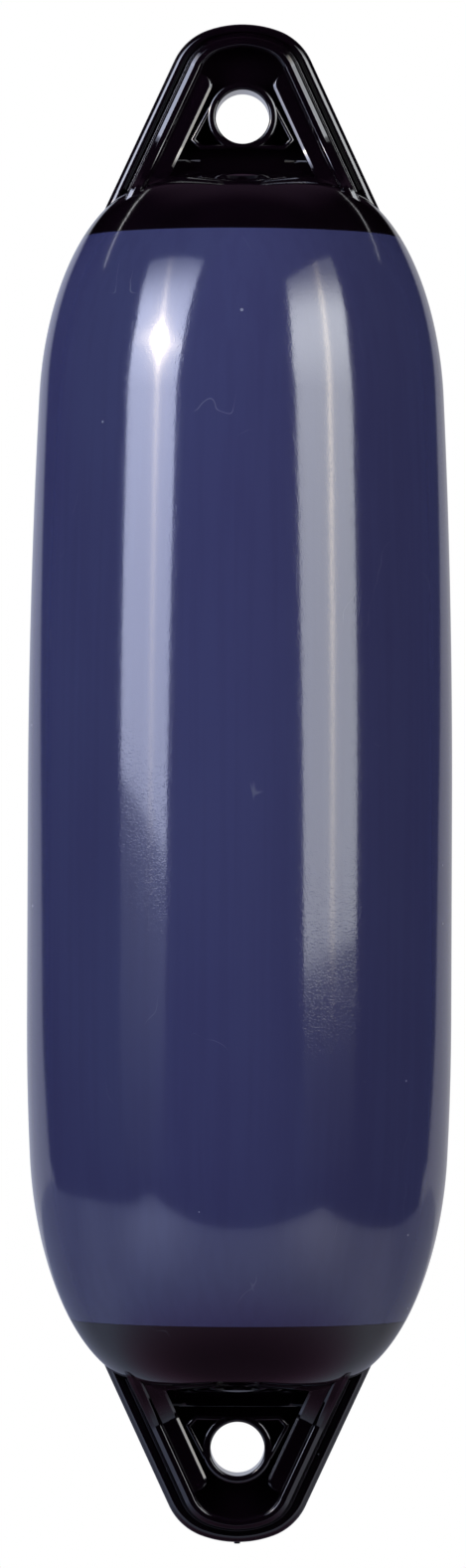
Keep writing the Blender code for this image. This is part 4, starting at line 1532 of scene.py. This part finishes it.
def softbox_face(build, box):
    """Glowing cloth with a brighter line and a hot spot. The face's coordinates are metres across and up."""
    axes = build.axes("UV")
    across, up = axes["X"], axes["Y"]
    top = max(point[1] for point in box.outline())

    def bell(value, middle, width):
        """1 at the middle, falling off to both sides like a bell."""
        off = build.math("DIVIDE", build.math("SUBTRACT", value, middle), width)
        return build.math("EXPONENT", build.math("MULTIPLY", build.math("POWER", off, 2.0), -1.0))

    fade_place = build.math("MULTIPLY_ADD", across, -box.fade_slant, up)
    fade = build.ramp(fade_place, box.fade_height, top - box.fade_margin)
    fade = build.math("MULTIPLY_ADD", fade, -box.fade_share, 1.0)
    face = build.math("MULTIPLY_ADD", bell(up, box.full_height, box.glow_reach), box.glow, box.base)
    face = build.product(face, fade, box.strength)

    bend = build.math("POWER", build.math("DIVIDE", up, top), 3.0)
    line_place = build.math("MULTIPLY_ADD", bend, box.line_bend, box.line_foot)
    rise = build.ramp(up, 0.0, box.line_rise)
    rise = build.math("MULTIPLY_ADD", rise, 1.0 - box.line_start, box.line_start)
    line = build.product(bell(across, line_place, box.line_spread), rise, fade, box.line)
    for half_width, half_height, share in SPOT_GLOWS:
        glow = build.product(bell(across, line_place, half_width), bell(up, box.spot_height, half_height))
        line = build.math("MULTIPLY_ADD", glow, share * box.spot, line)

    lights = (build.emission(opaque(box.colour), face), build.emission(opaque(box.line_colour), line))
    both = build.add("ShaderNodeAddShader", "both", dict(enumerate(lights))).outputs[0]
    return gloss_or_fill(build, both, box.fill_colour, box.fill)


def softbox_skirt(build, box):
    """Dim cloth under a softbox, darker to its lower edge."""
    strength = build.product(build.math("POWER", build.axes("UV")["Y"], 3.0), box.skirt_glow)
    return gloss_or_fill(build, build.emission(opaque(box.colour), strength), box.fill_colour, box.skirt_fill)


def add_softbox(name, box):
    """A soft light that the gloss reflects and the camera doesn't see."""
    outline = box.outline()
    low_left, low_right = outline[:2]
    hem = [(across, up - box.skirt_depth) for across, up in (low_left, low_right)]
    skirt_places = [(0.0, 0.0), (1.0, 0.0), (1.0, 1.0), (0.0, 1.0)]
    for part, corners, places, build_glow in (
        (name, outline, outline, softbox_face),
        (f"{name}_skirt", [*hem, low_right, low_left], skirt_places, softbox_skirt),
    ):
        points = [box.corner(across, up) for across, up in corners]
        panel = stage_object(part, points, [list(range(len(points)))], glow_material(part, build_glow, box))
        layer = panel.data.uv_layers.new(name="face")
        for loop, place in zip(layer.data, places):
            loop.uv = place
        panel.visible_camera = False
        panel.visible_shadow = False


def cards_glow(build, studio):
    """Dark cards all round, with a pale card at the back and a dim room over it."""
    axes = build.axes()
    across, back, up = axes["X"], axes["Y"], axes["Z"]
    turn = build.math("ABSOLUTE", build.math("ARCTAN2", across, back))
    rise = build.math("SUBTRACT", up, studio.floor_height)
    narrowing, half_angle = studio.back_narrowing, studio.back_half_angle
    low_edge = build.math("MULTIPLY_ADD", rise, -narrowing, half_angle)
    high_edge = build.math("MULTIPLY_ADD", rise, -BACK_SHOULDER_RATE * narrowing, BACK_SHOULDER * half_angle)
    inside = build.math("SUBTRACT", build.math("MAXIMUM", low_edge, high_edge), turn)
    below = build.math("SUBTRACT", studio.back_top, up)
    card = build.product(build.ramp(inside, -0.02, 0.02), build.ramp(below, -0.15, 0.15))
    pale = build.mix(build.ramp(across, -1.0, 1.0), opaque(studio.back_left), opaque(studio.back_right))
    aside = build.ramp(build.math("ABSOLUTE", across), *ROOM_SIDES)
    middle = build.math("SUBTRACT", 1.0, aside)
    behind = build.product(build.ramp(back, *ROOM_BACK), build.ramp(up, *ROOM_RISE), middle)
    room = build.mix(behind, opaque((0.0, 0.0, 0.0)), opaque(studio.room_colour))
    return build.emission(build.mix(card, room, pale), 1.0)


def floor_glow(build, studio):
    """What the gloss sees of the floor, with painted light and shade: a painted shadow under the fender,
    painted shade behind it and two painted pools of light.
    """
    place = build.place()
    axes = build.axes()

    def away(x, y):
        """Distance from a point of the floor."""
        return build.vector("DISTANCE", place, (x, y, studio.floor_height))["Value"]

    # Painted shadow round the spot under the fender.
    lit = build.ramp(away(0.0, 0.0), 0.15, 1.4)
    glow = build.math("MULTIPLY_ADD", lit, 1.0 - studio.under_fender_shadow, studio.under_fender_shadow)
    glow = build.math("MULTIPLY", glow, studio.floor_glow)
    # Painted pools of light on the floor, where the softboxes' light falls.
    for (x, y, radius), strength in ((LEFT_POOL, studio.left_pool), (RIGHT_POOL, studio.right_pool)):
        pool = build.math("SUBTRACT", 1.0, build.ramp(away(x, y), 0.0, radius))
        glow = build.math("MULTIPLY_ADD", pool, strength, glow)
    # Painted shade behind the fender.
    kept = build.math("MULTIPLY_ADD", build.ramp(axes["Y"], 0.0, 1.1), -studio.shade_behind_fender, 1.0)
    far_shade = build.mix(build.ramp(axes["X"], -1.5, 1.5), LEFT_SHADE, RIGHT_SHADE)
    shade = build.mix(build.ramp(away(0.0, 0.0), 0.35, 1.1), NEAR_SHADE, far_shade)
    return build.emission(shade, build.math("MULTIPLY", glow, kept))


def rod_glow(build, studio):
    """The glow of the two thin lamp rods, dimmer towards the middle of the studio."""
    across = build.axes()["X"]
    right = build.ramp(across, -0.1, 0.1)
    strength = build.math("MULTIPLY_ADD", right, studio.right_rod - studio.left_rod, studio.left_rod)
    outward = build.ramp(build.math("ABSOLUTE", across), 0.7, 2.0)
    return build.emission(ROD_SHADE, build.math("MULTIPLY", strength, outward))


def add_rod(name, route, studio, material):
    """A thin lamp rod along a route of (x, y) points at one height, which only the gloss sees."""
    route = [Vector(point) for point in route]
    points = []
    for i, point in enumerate(route):
        along = (route[min(i + 1, len(route) - 1)] - route[max(i - 1, 0)]).normalized()
        across = Vector((-along.y, along.x)) * 0.5 * studio.rod_width
        points += [(*(point + across), studio.rod_height), (*(point - across), studio.rod_height)]
    faces = [(2 * i, 2 * i + 1, 2 * i + 3, 2 * i + 2) for i in range(len(route) - 1)]
    stage_object(name, points, faces, material, gloss_only=True)


def floor_material(studio):
    """A pale floor that takes the shadow and fades into the white surroundings further out."""
    material, build, shader = new_material("pale floor")
    shader["Base Color"].default_value = opaque(studio.floor_colour)
    shader["Roughness"].default_value = 0.8
    shader["Specular IOR Level"].default_value = 0.1
    distance = build.vector("DISTANCE", build.position((1.0, 1.0, 0.0)), (0.0, 0.0, 0.0))["Value"]
    fade = build.ramp(distance, 0.5 * studio.floor_fade, studio.floor_fade)
    share = build.math("MULTIPLY", fade, lightpath_share(build))
    nodes = build.tree.nodes
    mixed = build.mix_shader(share, nodes["Principled BSDF"].outputs[0], build.emission(WHITE, 1.0))
    build.tree.links.new(mixed, nodes["Material Output"].inputs["Surface"])
    return material


def disc(radius, height, steps=96):
    """Points and one face of a flat disc."""
    turns = [2.0 * math.pi * i / steps for i in range(steps)]
    return [(radius * math.cos(t), radius * math.sin(t), height) for t in turns], [list(range(steps))]


class FENDER_OT_stage(bpy.types.Operator):
    """Make the floor, the lights, the surroundings and the camera"""

    bl_idname = "fender.stage"
    bl_label = "Stage"

    def execute(self, context):
        scene = context.scene
        fender = scene.fender
        studio = fender.studio
        scene.view_settings.view_transform = "Standard"

        points, faces = disc(studio.floor_radius, studio.floor_height)
        stage_object("floor", points, faces, floor_material(studio))

        add_softbox("left_softbox", fender.left_light)
        add_softbox("right_softbox", fender.right_light)

        rim, _ = disc(studio.cards_radius, studio.floor_height + FLOOR_GAP)
        lid, _ = disc(studio.cards_radius, studio.cards_top)
        steps = len(rim)
        faces = [(i, (i + 1) % steps, steps + (i + 1) % steps, steps + i) for i in range(steps)]
        faces += [list(range(steps, 2 * steps)), list(range(steps))]
        cards = glow_material("dark and pale cards", cards_glow, studio)
        stage_object("cards", rim + lid, faces, cards, gloss_only=True)

        front = [(x, back - studio.front_edge) for x, back in FLOOR_FRONT]
        height = studio.floor_height + 2.0 * FLOOR_GAP
        points = [(x, y, height) for x, y in (*FLOOR_LEFT, *front, *FLOOR_RIGHT)]
        glow = glow_material("floor in the gloss", floor_glow, studio)
        stage_object("floor_glow", points, [list(range(len(points)))], glow, gloss_only=True)

        rods = glow_material("lamp rods", rod_glow, studio)
        add_rod("left_rod", LEFT_ROD, studio, rods)
        add_rod("right_rod", RIGHT_ROD, studio, rods)

        world = bpy.data.worlds.new("studio")
        build = empty_tree(world)
        inputs = {"Color": opaque(studio.ambient_colour), "Strength": studio.ambient}
        soft = build.add("ShaderNodeBackground", "light", inputs).outputs[0]
        white = build.add("ShaderNodeBackground", "white", {"Color": WHITE, "Strength": 1.0}).outputs[0]
        seen = build.mix_shader(lightpath_share(build), soft, white)
        build.add("ShaderNodeOutputWorld", "output", {"Surface": seen})
        scene.world = world

        camera = link("camera", bpy.data.cameras.new("camera"))
        camera.data.lens = studio.lens
        camera.data.clip_end = 100.0
        camera.location = (-studio.camera_aside, -studio.camera_distance, studio.camera_height)
        pitch = math.atan2(studio.camera_aim - studio.camera_height, studio.camera_distance)
        turn = Matrix.Rotation(0.5 * math.pi + pitch, 4, "X") @ Matrix.Rotation(studio.camera_roll, 4, "Z")
        camera.rotation_euler = turn.to_euler()
        scene.camera = camera
        return {"FINISHED"}


STEPS = (FENDER_OT_barrel, FENDER_OT_ends, FENDER_OT_valve, FENDER_OT_stage)
GROUP_NAMES = (
    "top", "bottom", "shell", "lug", "ribs", "eye", "valve", "finish", "left_light", "right_light", "studio"
)


class FENDER_PT_panel(bpy.types.Panel):
    """The fender's pieces and stage, in the order in which they are made"""

    bl_label = "Fender"
    bl_idname = "FENDER_PT_panel"
    bl_space_type = "VIEW_3D"
    bl_region_type = "UI"
    bl_category = "Fender"

    def draw(self, context):
        for step in STEPS:
            self.layout.operator(step.bl_idname)
        for group in GROUP_NAMES:
            box = self.layout.box()
            box.label(text=group.replace("_", " ").capitalize())
            settings = getattr(context.scene.fender, group)
            for name in settings.bl_rna.properties.keys():
                if name not in {"rna_type", "name"}:
                    box.prop(settings, name)


CLASSES = (
    TopEndSizes,
    BottomEndSizes,
    ShellSizes,
    LugSizes,
    RibSizes,
    EyeSizes,
    ValveSizes,
    FinishSettings,
    LeftSoftbox,
    RightSoftbox,
    StudioSettings,
    FenderSettings,
    *STEPS,
    FENDER_PT_panel,
)


def register():
    """Make the classes and the scene's settings known."""
    for kind in CLASSES:
        bpy.utils.register_class(kind)
    bpy.types.Scene.fender = PointerProperty(type=FenderSettings)


def unregister():
    """Take them away again."""
    del bpy.types.Scene.fender
    for kind in reversed(CLASSES):
        bpy.utils.unregister_class(kind)


def main():
    """Make the fender and its studio."""
    register()
    for step in (bpy.ops.fender.barrel, bpy.ops.fender.ends, bpy.ops.fender.valve, bpy.ops.fender.stage):
        step()


if __name__ == "__main__":
    main()
